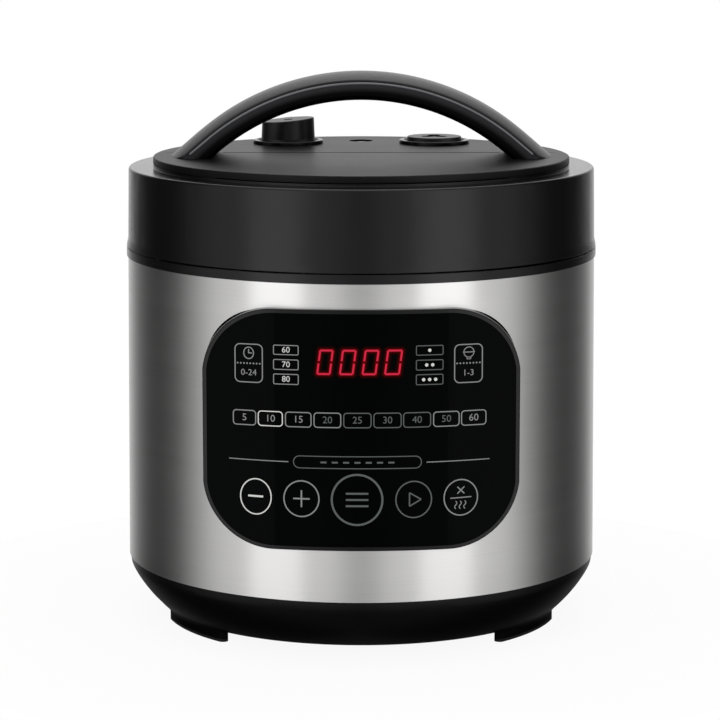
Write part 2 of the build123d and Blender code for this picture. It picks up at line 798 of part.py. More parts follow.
def panel_bezel():
    """Pod that carries the glass on its curved front and reaches through the jacket behind."""
    near, far = pod_near_y, pod_far_y
    pod = panel_prism(0, near, far) & panel_drum(panel_curve_r)
    pod -= jacket_cone(face_gap)
    pod = fillet([edge for edge in pod.edges() if on_front(edge)], 0.8)
    throat_inset = window_lap + fit_gap
    pod += panel_prism(throat_inset, near, far) & (panel_drum(glass_front_r - 1) - panel_drum(pod_back_r))
    pod -= panel_prism(bezel_width, near, far) - panel_drum(glass_back_r)
    ledge_back_r = glass_back_r - pod_ledge_t
    pod -= panel_prism(bezel_width + pod_ledge, near, far) & (
        panel_drum(glass_back_r + 1) - panel_drum(ledge_back_r - 1)
    )
    pod -= panel_prism(throat_inset + pod_wall, near, far) & (
        panel_drum(ledge_back_r) - panel_drum(pod_back_r + pod_back_wall)
    )
    for x in (-board_boss_x, board_boss_x):
        for z in (-board_boss_z, board_boss_z):
            boss = Pos(x, control_board_y + board_t, panel_centre_z + z) * Rot(-90, 0, 0)
            boss = boss * Cylinder(board_boss_r, pod_depth, align=(Align.CENTER, Align.CENTER, Align.MIN))
            pod += boss - panel_drum(pod_back_r + pod_back_wall / 2)
    return pod - block((-12, 12), (control_board_y + board_t + 1, far), (panel_centre_z - 6, panel_centre_z + 6))


def on_front(edge):
    """Whether an edge lies on the pod's curved front."""
    points = [edge @ share for share in (0.1, 0.5, 0.9)]
    reach = [math.hypot(point.X, point.Y - panel_curve_y) for point in points]
    return all(abs(value - panel_curve_r) < 0.01 for value in reach)


def panel_glass():
    """Curved touch glass in the pod's pocket."""
    inset = bezel_width + 0.1
    glass = panel_prism(inset, pod_near_y, pod_far_y) & panel_drum(glass_front_r)
    return glass - panel_drum(glass_back_r)


board_boss_x = 58.0
board_boss_r = 3.2
board_boss_z = 36.0
board_margin = 10.0      # board's edge beyond its bosses
chip_t = 2.2


def control_board():
    """Board behind the glass, with its chips on the back."""
    half_width, half_height = board_boss_x + board_margin, board_boss_z + board_margin
    near, far = control_board_y, control_board_y + board_t
    board = block(
        (-half_width, half_width), (near, far), (panel_centre_z - half_height, panel_centre_z + half_height)
    )
    board += block((-44, -26), (far, far + chip_t), (panel_centre_z - 30, panel_centre_z - 18))
    board += block((24, 38), (far, far + chip_t), (panel_centre_z - 28, panel_centre_z - 18))
    return board


display_width = 66.0
display_height = 22.0
display_t = 9.5
display_z = panel_centre_z + 34.0


def display_module():
    """Four-digit light block on the control board."""
    module = block(
        (-display_width / 2, display_width / 2),
        (control_board_y - display_t, control_board_y),
        (display_z - display_height / 2, display_z + display_height / 2),
    )
    return fillet(module.edges().filter_by(Axis.Y), 1.0)


# ---- inlet at the back
inlet_flange_width = 54.0
inlet_flange_height = 34.0
inlet_cavity_width = 24.4
inlet_cavity_height = 16.8
inlet_depth = 16.6
inlet_body_depth = 21.6
inlet_rear_y = inlet_face_y - inlet_body_depth


def back_prism(width, height, radius, near, far, z):
    """Rounded rectangle in the XZ plane, run along Y."""
    sketch = RectangleRounded(width, height, radius)
    return Pos(0, far, z) * extrude(Plane.XZ * sketch, amount=far - near)


def power_inlet():
    """Inlet housing, its face flat and its flange shaped to the jacket."""
    body = back_prism(inlet_flange_width, inlet_flange_height, 5, inlet_rear_y, inlet_face_y, inlet_z)
    body = chamfer(body.faces().sort_by(Axis.Y)[-1].edges(), 0.8)
    body -= jacket_cone(face_gap)
    body += back_prism(inlet_throat_width, inlet_throat_height, 2, inlet_rear_y, inlet_face_y - 2, inlet_z)
    cavity = block(
        (-inlet_cavity_width / 2, inlet_cavity_width / 2),
        (inlet_face_y - inlet_depth, inlet_face_y + 1),
        (inlet_z - inlet_cavity_height / 2, inlet_z + inlet_cavity_height / 2),
    )
    upper = cavity.edges().filter_by(Axis.Y).sort_by(Axis.Z)[2:]
    cavity = chamfer(upper, 4.0)
    lower = cavity.edges().filter_by(Axis.Y).sort_by(Axis.Z)[:2]
    body -= fillet(lower, 1.0)
    for x, z in inlet_pin_places():
        body -= pin_block(x, z, pilot_play)
    for side in (-1, 1):
        shank = Pos(side * inlet_screw_x, inlet_face_y, inlet_z) * Rot(90, 0, 0)
        body -= shank * Cylinder(inlet_screw_shank + pilot_play, 2 * inlet_body_depth)
        body -= shank * Cylinder(inlet_head_r + fit_gap, 2 * inlet_head_t)
    return body


inlet_head_r = head_width * inlet_screw_shank
inlet_head_t = head_depth * inlet_screw_shank
inlet_screw_length = 12.0
inlet_pin_reach = 13.0


def inlet_pin_places():
    """XZ places of line, neutral and earth."""
    return [(-7.0, inlet_z - 2.0), (7.0, inlet_z - 2.0), (0.0, inlet_z + 2.0)]


def pin_block(x, z, play=0.0):
    """One upright blade, from its solder tab to its end in the socket."""
    end = inlet_face_y - inlet_depth + inlet_pin_reach
    return block(
        (x - 1 - play, x + 1 + play),
        (inlet_rear_y - 5, end),
        (z - 2 - play, z + 2 + play),
    )


def inlet_pins():
    """Three blades of the inlet."""
    return group(pin_block(x, z) for x, z in inlet_pin_places())


def inlet_screws():
    """Two screws that hold the inlet to the jacket."""
    screws = []
    for side in (-1, 1):
        place = Pos(side * inlet_screw_x, inlet_face_y - inlet_head_t, inlet_z) * Rot(-90, 0, 0)
        stem = place * Cylinder(inlet_screw_shank, inlet_screw_length, align=(Align.CENTER, Align.CENTER, Align.MAX))
        head = place * Cylinder(inlet_head_r, inlet_head_t, align=(Align.CENTER, Align.CENTER, Align.MIN))
        screws.append(stem + head)
    return group(screws)


# ---- drip cup at the back
rail_t = 2.2
arm_t = 3.4
arm_width = 5.7
arm_depth = 16.0         # arms' roots inside the jacket's face, before they are cut to it
lip_width = 3.4
rail_plate_half = cup_width / 2 + fit_gap + arm_width
rail_low_z = cup_top_z - cup_height - 2.0
rail_high_z = cup_top_z + 4.0
lip_t = 1.8
cup_near_y = jacket_low_r + rail_t + 0.8
cup_far_y = cup_near_y + cup_depth


def drip_rail():
    """Holder on the jacket with two arms that carry the cup's lips."""
    sector = jacket_cone(face_gap + rail_t) - jacket_cone(face_gap)
    rail = sector & block((-rail_plate_half, rail_plate_half), (0, cup_far_y), (rail_low_z, rail_high_z))
    root_y, tip_y = jacket_low_r - arm_depth, cup_near_y + cup_depth - 6
    arm_in = cup_width / 2 + fit_gap
    arm_top = cup_top_z - lip_t - fit_gap
    for side in (-1, 1):
        inner, outer = sorted((side * arm_in, side * rail_plate_half))
        arm = block((inner, outer), (root_y, tip_y), (arm_top - arm_t, arm_top))
        rail += arm - jacket_cone(face_gap)
        web_in, web_out = sorted((side * (rail_plate_half - 2.2), side * rail_plate_half))
        web = block((web_in, web_out), (root_y, tip_y), (arm_top, arm_top + 3))
        rail += web - jacket_cone(face_gap)
    return rail


def drip_cup():
    """Clear cup that catches the lid's condensate, with lips that run on the arms."""
    half = cup_width / 2
    low_z = cup_top_z - cup_height
    cup = block((-half, half), (cup_near_y, cup_far_y), (low_z, cup_top_z))
    cup = fillet(cup.edges().filter_by(Axis.Z).sort_by(Axis.Y)[2:], 7.0)
    cup = fillet(cup.faces().sort_by(Axis.Z)[0].edges(), 2.5)
    inside = block(
        (-half + cup_wall, half - cup_wall),
        (cup_near_y + cup_wall, cup_far_y - cup_wall),
        (low_z + cup_wall, cup_top_z + 1),
    )
    inside = fillet(inside.edges().filter_by(Axis.Z).sort_by(Axis.Y)[2:], 7.0 - cup_wall)
    lips = block((-half - lip_width, half + lip_width), (cup_near_y, cup_far_y - 9), (cup_top_z - lip_t, cup_top_z))
    grip = Pos(0, cup_far_y, low_z + 14) * Box(22, 3, 2.4)
    return cup + lips + fillet(grip.edges().filter_by(Axis.X), 0.8) - inside


# ---- lid
deck_seat = 4.0          # ring on which the deck lies, inside its edge
lid_post_r = 5.0
lid_post_height = 6.0
lid_rib_height = 22.0
lid_rib_width = 10.0
lid_screw_inset = 27.5   # inside the deck's edge
lid_screw_r = collar_r - lid_screw_inset
lid_screw_angles = [20, 160, 200, 340]
lid_screw_shank = 1.8
lid_screw_play = 0.1
handle_screw_y = 12.0
handle_screw_shank = 1.9
handle_screw_depth = 6.0
button_stem_r = 4.0
stem_hole_r = button_stem_r + 0.4
nut_r = 9.2              # across the nut's corners
nut_space = 2.8
pipe_hole_r = nut_r + nut_space


def leg_x(radius, height):
    """X where an arc of the arch, or the leg that continues it, passes a height."""
    bend_z = handle_axis_z + radius * math.cos(bend_turn)
    if height > bend_z:
        return math.sqrt(radius**2 - (height - handle_axis_z) ** 2)
    return radius * math.sin(bend_turn) + (bend_z - height) / math.tan(bend_turn)


handle_screw_x = (leg_x(handle_under_r, deck_z) + leg_x(handle_seam_r, deck_z + handle_screw_depth)) / 2


def handle_screw_places():
    """XY places of the four screws that hold the handle."""
    return [(x, y) for x in (-handle_screw_x, handle_screw_x) for y in (-handle_screw_y, handle_screw_y)]


def lid_cover():
    """Lid's outer shell: flared skirt, shoulder, collar and the plate below the deck."""
    bell_z = skirt_low_z + bell_rise
    seat_r = collar_r - deck_seat
    corners = [
        (ring_r, skirt_low_z),
        (bell_r, bell_z),
        (skirt_high_r, shoulder_z),
        (collar_r, shoulder_z),
        (collar_r, shoulder_z + collar_rise),
        (collar_r - 1, shoulder_z + collar_rise),
        (collar_r - 1, deck_low_z),
        (seat_r, deck_low_z),
        (seat_r, shoulder_z),
        (0, shoulder_z),
        (0, lid_plate_low_z),
        (skirt_high_r - skirt_wall, lid_plate_low_z),
        (bell_r - skirt_wall, bell_z),
        (ring_r - skirt_wall, skirt_low_z),
    ]
    radii = [0.5, 8, 1.6, 0.4, 0.3, 0, 0, 0, 0, 0, 0, 2.0, 8, 0.3]
    cover = lathe(corners, radii)
    post_top = dome_top_z + lid_post_height
    for angle in lid_screw_angles:
        x, y = polar(lid_screw_r, angle)
        cover += rod(lid_post_r + 1, post_top, lid_plate_low_z, x, y)
        cover -= rod(lid_screw_shank + screw_play, post_top - 1, shoulder_z + 1, x, y)
    cover += [lid_rib(angle) for angle in range(0, 360, 30)]
    for x, y in handle_screw_places():
        cover -= rod(handle_screw_shank + screw_play, lid_plate_low_z - 1, shoulder_z + 1, x, y)
    cover -= rod(pipe_hole_r, lid_plate_low_z - 1, shoulder_z + 1, valve_x, valve_y)
    cover -= rod(stem_hole_r, lid_plate_low_z - 1, shoulder_z + 1, button_x, button_y)
    cover -= rod(float_rod_r + fit_gap, lid_plate_low_z - 1, shoulder_z + 1, float_x, float_y)
    return cover


def lid_rib(angle):
    """Stiffening rib in the corner between the skirt and the plate."""
    outer = skirt_high_r - skirt_wall
    rib_low = lid_plate_low_z - lid_rib_height
    corners = [
        (outer - lid_rib_width, lid_plate_low_z + 0.5),
        (outer + 0.5, lid_plate_low_z + 0.5),
        (outer + 0.5, rib_low),
        (outer - 1.5, rib_low),
        (outer - lid_rib_width, lid_plate_low_z - 3),
    ]
    rib = extrude(outline(corners), amount=1.0, both=True)
    return Rot(0, 0, angle + 15) * rib


def lid_deck():
    """Raised top disc with the openings of the fittings and a shaped seam across it."""
    seat_r = collar_r - deck_seat
    corners = [
        (0, deck_under_z),
        (seat_r, deck_under_z),
        (seat_r, deck_low_z),
        (collar_r, deck_low_z),
        (collar_r, deck_z),
        (0, deck_z),
    ]
    deck = lathe(corners, [0, 0.5, 0, 0.3, 0.9, 0])
    for x, y in handle_screw_places():
        deck += rod(handle_screw_shank + 3, shoulder_z, deck_under_z, x, y)
        deck -= rod(handle_screw_shank + screw_play, shoulder_z - 1, deck_z + 1, x, y)
    valve_hole_r = valve_sleeve_r + sleeve_wall + face_gap
    button_hole_r = button_sleeve_r + sleeve_wall + face_gap
    deck -= rod(valve_hole_r, deck_under_z - 1, deck_z + 1, valve_x, valve_y)
    deck -= rod(button_hole_r, deck_under_z - 1, deck_z + 1, button_x, button_y)
    deck -= rod(float_hole_r, deck_under_z - 1, deck_z + 1, float_x, float_y)
    seam_reach = math.sqrt(collar_r**2 - deck_seam_y**2) - 6
    deck -= block((-seam_reach, seam_reach), (deck_seam_y - 0.4, deck_seam_y + 0.4), (deck_z - 0.6, deck_z + 1))
    return deck


def fitting_collar(inner, x, y):
    """Dished ring round a fitting, with a sleeve down through the deck."""
    outer = inner + sleeve_wall
    corners = [
        (inner, shoulder_z + fit_gap),
        (outer, shoulder_z + fit_gap),
        (outer, deck_z),
        (outer + collar_lip, deck_z),
        (outer + collar_lip, deck_z + collar_height),
        (outer - 0.4, deck_z + collar_height),
        (inner, deck_z + collar_height / 2),
    ]
    return Pos(x, y, 0) * lathe(corners, [0, 0, 0, 0.3, 0.7, 0.6, 0.2])


def steel_lid():
    """Pressed pressure lid with a flat middle, a drawn shoulder and the bayonet lugs."""
    rise = dome_top_z - lug_top_z
    corners = [
        (0, dome_low_z),
        (lid_dome_r - 1, dome_low_z),
        (lid_neck_r - lid_steel_t, lug_top_z + rise * 0.35),
        (lid_neck_r - lid_steel_t, lug_low_z),
        (lug_base_r, lug_low_z),
        (lug_base_r, lug_top_z),
        (lid_neck_r, lug_top_z),
        (lid_neck_r, lug_top_z + rise * 0.35 + 0.6),
        (lid_dome_r, dome_top_z),
        (0, dome_top_z),
    ]
    lid = lathe(corners, [0, 8, 5, 0.4, 0, 0, 1.2, 6.5, 9.5, 0])
    lug_corners = [
        (lug_base_r - 1, lug_low_z),
        (lug_r, lug_low_z),
        (lug_r, lug_top_z),
        (lug_base_r - 1, lug_top_z),
    ]
    pitch = 360 / tooth_count
    for index in range(tooth_count):
        lid += arc_block(lug_corners, (index + 0.5) * pitch - lug_arc / 2, lug_arc, [0, 0.6, 0.6, 0])
    post_top = dome_top_z + lid_post_height
    for angle in lid_screw_angles:
        x, y = polar(lid_screw_r, angle)
        lid += rod(lid_post_r, dome_top_z, post_top, x, y)
        lid -= rod(lid_screw_shank + lid_screw_play, dome_top_z, post_top + 1, x, y)
    lid -= rod(pipe_r + face_gap, dome_low_z - 1, dome_top_z + 1, valve_x, valve_y)
    for x, y in ((button_x, button_y), (float_x, float_y)):
        lid -= rod(bush_r + face_gap, dome_low_z - 1, dome_top_z + 1, x, y)
    return lid


lid_screw_end = 0.8      # below the screw's point, in its post
bush_r = 7.0
bush_flange_r = 9.0
bush_flange_t = 2.5
bush_neck_r = 5.8
bush_lip = 1.5           # bush below the steel lid's underside
bush_height = 9.0        # bush above the steel lid's top


def lid_screws():
    """Screws from the cover's plate into the steel lid's posts."""
    places = [polar(lid_screw_r, angle) for angle in lid_screw_angles]
    tip = dome_top_z + lid_screw_end
    return group(screw(lid_screw_shank, shoulder_z, tip, x, y) for x, y in places)


def sealing_ring():
    """Silicone ring with a lip, between the pot's rim and the steel lid."""
    low = pot_rim_top_z + fit_gap
    high = lug_low_z - fit_gap
    middle = (seal_r_in + seal_r_out) / 2
    corners = [
        (seal_r_in, low),
        (seal_r_out, low),
        (seal_r_out, high),
        (middle + 1.2, high),
        (middle + 0.4, low + 1.6),
        (middle - 0.4, low + 1.6),
        (middle - 1.2, high + 0.6),
        (seal_r_in, high + 0.6),
    ]
    return lathe(corners, [0.8, 0.8, 0.6, 0.4, 0.3, 0.3, 0.4, 0.4])


rack_rise = 1.6          # above the pot's rim
rack_width = 3.4
rack_height = 6.4
rack_t = 1.2


def seal_rack():
    """Steel ring inside the lid that holds the seal."""
    low = pot_rim_top_z + rack_rise
    outer = seal_r_in - fit_gap
    corners = [
        (outer - rack_width, low),
        (outer, low),
        (outer, low + rack_height),
        (outer - rack_t, low + rack_height),
        (outer - rack_t, low + rack_t),
        (outer - rack_width, low + rack_t),
    ]
    return lathe(corners, [0.3, 0.5, 0.3, 0.3, 0.3, 0.3])


# ---- handle
def handle_plane(angle, run=0.0):
    """Section plane across the arch at an angle from the top, moved on along the leg by the run."""
    turn = math.radians(angle)
    along = Vector(math.cos(turn), 0, -math.sin(turn))
    side = 1 if angle >= 0 else -1
    return Plane(Vector(0, 0, handle_axis_z) + along * run * side, x_dir=(0, 1, 0), z_dir=along)


def handle_width(angle, run=0.0):
    """Half width of the arch at a section, growing with the square of its distance from the middle."""
    turn = math.radians(abs(angle))
    reach = handle_seam_r * math.sin(turn) + run * math.cos(turn)
    return handle_half_width + (handle_foot_half_width - handle_half_width) * (reach / handle_reach) ** 2


crest_drop = handle_crest_r * (1 - math.cos(bend_turn))
leg_length = (handle_rise - crest_drop) / math.sin(bend_turn) + handle_grip_t / 2
handle_steps = 4         # sections between the top and each bend


def handle_stations():
    """Angle and run of every section, from one foot to the other."""
    step = handle_bend / handle_steps
    angles = [step * index for index in range(-handle_steps, handle_steps + 1)]
    return [(-handle_bend, leg_length)] + [(angle, 0.0) for angle in angles] + [(handle_bend, leg_length)]


def upper_section(angle, run):
    """Cambered section of the handle's upper half."""
    half = handle_width(angle, run)
    low, edge = handle_seam_r, handle_seam_r + handle_edge
    lines = [
        Line((-half, low), (half, low)),
        Line((half, low), (half, edge)),
        ThreePointArc((half, edge), (0, handle_crest_r), (-half, edge)),
        Line((-half, edge), (-half, low)),
    ]
    return handle_plane(angle, run) * make_face(lines)


def lower_section(angle, run):
    """Section of the grip below the seam, with rounded lower corners."""
    half = handle_width(angle, run)
    top = handle_seam_r - handle_seam_gap
    corners = [
        (-half, top),
        (-half + 1.2, handle_under_r),
        (half - 1.2, handle_under_r),
        (half, top),
    ]
    sketch = make_face(FilletPolyline(*corners, radius=[0.9, 3.5, 3.5, 0.9], close=True))
    return handle_plane(angle, run) * sketch


def on_deck(shape):
    """What stands on the deck, inside the arch's plan with its rounded ends."""
    plan = RectangleRounded(2 * handle_reach, 2 * handle_foot_half_width + 1, handle_foot_corner)
    return shape & Pos(0, 0, deck_z) * extrude(plan, amount=2 * handle_rise)


def handle_top():
    """Cambered upper half of the arch."""
    return on_deck(loft([upper_section(*station) for station in handle_stations()]))


def handle_grip():
    """Lower half of the arch, with the screw holes in its feet."""
    grip = on_deck(loft([lower_section(*station) for station in handle_stations()]))
    for x, y in handle_screw_places():
        grip -= rod(handle_screw_shank + pilot_play, deck_z - 1, deck_z + handle_screw_depth + 0.5, x, y)
    return grip


def handle_screws():
    """Four screws from below the cover's plate into the handle's feet."""
    tip = deck_z + handle_screw_depth
    return group(screw(handle_screw_shank, lid_plate_low_z, tip, x, y) for x, y in handle_screw_places())


# ---- exhaust valve
pipe_bore_r = 1.6
pipe_rise = 7.6          # pipe's end above the deck
pipe_top_z = deck_z + pipe_rise
cone_height = 3.0
cone_edge = 0.8          # width of the cone's end round the bore
pipe_nut_t = 5.0
pipe_foot_t = 3.4
pipe_foot_r = 9.0
cap_wall = 2.0
cap_rise = 1.5           # knob's foot above the deck
cap_low_z = deck_z + cap_rise
cap_top_z = cap_low_z + knob_height
cap_pocket_z = cap_top_z - cap_wall - knob_r * math.tan(math.radians(knob_tilt))
weight_space = 3.4       # round the weight, in the knob
weight_r = knob_r - cap_wall - weight_space
weight_skirt = 6.0       # weight's reach down round the pipe's cone
filter_r = 15.0
filter_t = 12.0
filter_wall = 1.4
filter_slots = 12
filter_slot_width = 2.4
pointer_width = 5.0
pointer_length = 17.0
pointer_rise = 1.2       # pointer above the knob's top


def valve_pipe():
    """Steam pipe through the steel lid, with its hexagon foot below and a cone on top."""
    corners = [
        (pipe_bore_r, dome_low_z),
        (pipe_r, dome_low_z),
        (pipe_r, pipe_top_z - cone_height),
        (pipe_bore_r + cone_edge, pipe_top_z),
        (pipe_bore_r, pipe_top_z),
    ]
    pipe = lathe(corners)
    foot = extrude(RegularPolygon(pipe_foot_r, 6), amount=pipe_foot_t)
    pipe += Pos(0, 0, dome_low_z - pipe_foot_t) * foot
    pipe -= rod(pipe_bore_r, dome_low_z - pipe_foot_t - 1, pipe_top_z + 1)
    return Pos(valve_x, valve_y, 0) * pipe


def valve_nut():
    """Hexagon nut that clamps the pipe to the steel lid."""
    nut = Pos(0, 0, dome_top_z) * extrude(RegularPolygon(nut_r, 6), amount=pipe_nut_t)
    nut -= rod(pipe_r + pilot_play, dome_top_z - 1, dome_top_z + pipe_nut_t + 1)
    return Pos(valve_x, valve_y, 0) * nut


def filter_cap():
    """Slotted cup over the pipe's inner end, which keeps food out of it."""
    top = dome_low_z - pipe_foot_t
    low = top - filter_t
    corners = [
        (pipe_bore_r + 1, top - filter_wall),
        (filter_r - filter_wall, top - filter_wall),
        (filter_r - filter_wall, low + filter_wall),
        (0, low + filter_wall),
        (0, low),
        (filter_r, low),
        (filter_r, top),
        (pipe_bore_r + 1, top),
    ]
    cup = lathe(corners, [0, 0.6, 0.6, 0, 0, 2.0, 1.0, 0])
    half = filter_slot_width / 2
    slot = block((filter_r - 2 * filter_wall, filter_r + 1), (-half, half), (low + filter_t / 4, top - filter_t / 4))
    for index in range(filter_slots):
        cup -= Rot(0, 0, index * 360 / filter_slots) * slot
    return Pos(valve_x, valve_y, 0) * cup


def valve_weight():
    """Weight that rests on the pipe's cone and holds the pressure."""
    low = pipe_top_z - weight_skirt
    high = cap_pocket_z - fit_gap
    corners = [
        (pipe_r + fit_gap, low),
        (weight_r, low),
        (weight_r, high),
        (0, high),
        (0, pipe_top_z + fit_gap),
        (pipe_r + fit_gap, pipe_top_z + fit_gap),
    ]
    return Pos(valve_x, valve_y, 0) * lathe(corners, [0.4, 1.0, 1.0, 0, 0, 0.4])


def valve_cap():
    """Knob over the weight: flared foot, slanted top with a raised pointer, hollow below."""
    top, tilt = cap_top_z, knob_tilt
    corners = [
        (0, cap_low_z),
        (knob_r + knob_flare, cap_low_z),
        (knob_r + 0.4, cap_low_z + 1.8),
        (knob_r - 0.2, top + 2),
        (0, top + 2),
    ]
    knob = lathe(corners, [0, 0.4, 1.2, 0, 0])
    reach = 4 * knob_r
    cutter = Box(reach, reach, knob_height, align=(Align.CENTER, Align.CENTER, Align.MIN))
    knob -= Pos(0, 0, top) * Rot(0, -tilt, 0) * cutter
    upper_rim = knob.faces().sort_by(Axis.Z)[-1].edges()
    knob = fillet(upper_rim, 0.7)
    pointer = Rot(0, -tilt, 0) * Box(pointer_width, pointer_length, 2 * pointer_rise)
    pointer = Pos(0, 5, top) * fillet(pointer.edges().filter_by(Axis.Y, reverse=True), pointer_rise / 2)
    knob += pointer & rod(knob_r - 1.5, top - 3, top + 5)
    knob -= rod(knob_r - cap_wall, cap_low_z - 1, cap_pocket_z)
    return Pos(valve_x, valve_y, 0) * knob


def valve_collar():
    """Dished ring round the exhaust valve."""
    return fitting_collar(valve_sleeve_r, valve_x, valve_y)


# ---- float valve
float_head_low = shoulder_z + fit_gap
float_foot_t = 1.8
float_foot_r = 5.0
float_gasket_r = 6.4
float_gasket_t = 1.8
float_gasket_low = dome_low_z - bush_lip - fit_gap - float_travel - float_gasket_t
float_foot_low = float_gasket_low - float_foot_t


def float_pin():
    """Float: head that shows in the deck, rod, and foot flange for its gasket."""
    corners = [
        (0, float_foot_low),
        (float_foot_r, float_foot_low),
        (float_foot_r, float_gasket_low),
        (float_rod_r, float_gasket_low),
        (float_rod_r, float_head_low),
        (float_head_r, float_head_low),
        (float_head_r, deck_z - 0.9),
        (0, deck_z - 0.9),
    ]
    return Pos(float_x, float_y, 0) * lathe(corners, [0, 0.5, 0.3, 0, 0, 0.4, 0.8, 0])


def float_gasket():
    """Silicone ring on the float's foot."""
    low, high = float_gasket_low, float_gasket_low + float_gasket_t
    inner = float_rod_r + face_gap
    corners = [(inner, low), (float_gasket_r, low), (float_gasket_r, high), (inner, high)]
    return Pos(float_x, float_y, 0) * lathe(corners, [0, 0.6, 0.6, 0])


def lid_bush(x, y, bore_r):
    """Flanged guide bush in the steel lid."""
    corners = [
        (bore_r, dome_low_z - bush_lip),
        (bush_r, dome_low_z - bush_lip),
        (bush_r, dome_top_z),
        (bush_flange_r, dome_top_z),
        (bush_flange_r, dome_top_z + bush_flange_t),
        (bush_neck_r, dome_top_z + bush_flange_t),
        (bush_neck_r, dome_top_z + bush_height),
        (bore_r, dome_top_z + bush_height),
    ]
    return Pos(x, y, 0) * lathe(corners, [0.3, 0.5, 0, 0.4, 0.4, 0.6, 0.5, 0.3])


def float_seat():
    """Guide bush of the float."""
    return lid_bush(float_x, float_y, float_rod_r + fit_gap)


# ---- release button
button_rise = 4.4        # button's top above the deck
button_top_z = deck_z + button_rise
button_wall = 1.6
button_top_t = 2.4
button_draw = 1.2        # how much the button's top draws in
recess_r = 4.2
recess_pitch = 4.6
recess_depth = 1.2
return_coil_r = 8.0
return_wire_r = 0.6
poppet_rod_r = 2.5
poppet_r = 6.0
poppet_t = 2.6
poppet_top_z = dome_top_z + bush_height + button_travel + fit_gap


def release_button():
    """Push button: tapered cap with a three-lobed recess, on its stem."""
    inner = button_r - button_wall
    low = shoulder_z + fit_gap + button_travel
    under = button_top_z - button_top_t
    corners = [
        (0, poppet_top_z),
        (button_stem_r, poppet_top_z),
        (button_stem_r, under),
        (inner, under),
        (inner, low),
        (button_r, low),
        (button_r, deck_z + button_draw),
        (button_r - button_draw, button_top_z),
        (0, button_top_z),
    ]
    button = lathe(corners, [0, 0.5, 0.8, 0.8, 0, 0.3, 0.8, 0.7, 0])
    for angle in (90, 210, 330):
        x, y = polar(recess_pitch, angle)
        button -= rod(recess_r, button_top_z - recess_depth, button_top_z + 1, x, y)
    return Pos(button_x, button_y, 0) * button


def button_collar():
    """Dished ring round the release button."""
    return fitting_collar(button_sleeve_r, button_x, button_y)


def button_spring():
    """Return spring round the button's stem."""
    return coil(return_coil_r, return_wire_r, shoulder_z, button_top_z - button_top_t, 3, button_x, button_y)


def release_poppet():
    """Poppet that closes its seat from inside the lid."""
    head_top = dome_low_z - bush_lip - fit_gap
    corners = [
        (0, head_top - poppet_t),
        (poppet_r, head_top - poppet_t),
        (poppet_r, head_top),
        (poppet_rod_r, head_top),
        (poppet_rod_r, poppet_top_z),
        (0, poppet_top_z),
    ]
    return Pos(button_x, button_y, 0) * lathe(corners, [0, 0.6, 0.4, 0.4, 0.5, 0])


def poppet_seat():
    """Guide bush of the poppet."""
    return lid_bush(button_x, button_y, poppet_rod_r + fit_gap)


# ---- every node, and its file
nodes = [
    base_shell,
    bottom_plate,
    foot_pads,
    base_screws,
    pressure_spring_plate,
    bar_screws,
    pressure_switch,
    thermal_fuse,
    power_board,
    steel_shell,
    upper_ring,
    drain_spout,
    outer_pot,
    outer_pot_screws,
    inner_pot,
    heating_plate,
    heater_terminals,
    sensor_cap,
    sensor_spring,
    panel_bezel,
    panel_glass,
    control_board,
    display_module,
    power_inlet,
    inlet_pins,
    inlet_screws,
    drip_rail,
    drip_cup,
    lid_cover,
    lid_deck,
    steel_lid,
    lid_screws,
    sealing_ring,
    seal_rack,
    handle_top,
    handle_grip,
    handle_screws,
    valve_pipe,
    valve_nut,
    filter_cap,
    valve_collar,
    valve_weight,
    valve_cap,
    float_seat,
    float_pin,
    float_gasket,
    button_collar,
    release_button,
    button_spring,
    release_poppet,
    poppet_seat,
]

os.makedirs("parts", exist_ok=True)
for node in nodes:
    export_step(node(), f"parts/{node.__name__}.step")
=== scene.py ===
import json
import math
import bmesh
import bpy
from mathutils import Matrix, Vector
from mathutils.bvhtree import BVHTree


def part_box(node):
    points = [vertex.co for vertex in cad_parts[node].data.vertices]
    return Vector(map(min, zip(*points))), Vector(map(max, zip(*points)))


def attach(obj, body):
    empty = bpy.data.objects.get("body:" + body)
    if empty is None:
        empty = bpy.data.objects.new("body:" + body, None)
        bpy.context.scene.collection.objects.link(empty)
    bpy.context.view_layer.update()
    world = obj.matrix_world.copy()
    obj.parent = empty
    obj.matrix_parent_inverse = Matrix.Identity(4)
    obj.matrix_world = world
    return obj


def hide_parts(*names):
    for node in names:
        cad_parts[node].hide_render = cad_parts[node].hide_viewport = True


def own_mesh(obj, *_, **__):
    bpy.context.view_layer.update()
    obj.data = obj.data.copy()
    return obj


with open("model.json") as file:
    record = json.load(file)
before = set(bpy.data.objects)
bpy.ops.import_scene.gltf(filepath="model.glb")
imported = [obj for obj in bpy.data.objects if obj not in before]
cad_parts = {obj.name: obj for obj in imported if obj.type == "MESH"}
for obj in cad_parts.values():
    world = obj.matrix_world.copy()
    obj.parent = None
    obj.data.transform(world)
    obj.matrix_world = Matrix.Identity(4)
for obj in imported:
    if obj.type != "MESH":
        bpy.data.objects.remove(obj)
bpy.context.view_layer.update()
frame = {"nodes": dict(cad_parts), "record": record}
nodes = frame["nodes"]
mm = 0.001
scene = bpy.context.scene


# the arch handle's lower half, in millimetres: height of the arc's axis, radius of the seam, and how far
# below the seam its painted highlight is full and has gone dark; the arc turns into straight legs at bend
# degrees;
# the bead's radius, how far it runs below the seam and stands out of the side, and its length from the crest
grip = {"axis": 181.01, "seam": 144.49, "edge": 2.5, "fade": 6.8, "bend": 40.0,
        "bead": 0.7, "beadDrop": 1.0, "beadOut": 0.45, "beadReach": 113.0, "beadSteps": 60, "beadSmooth": 40}


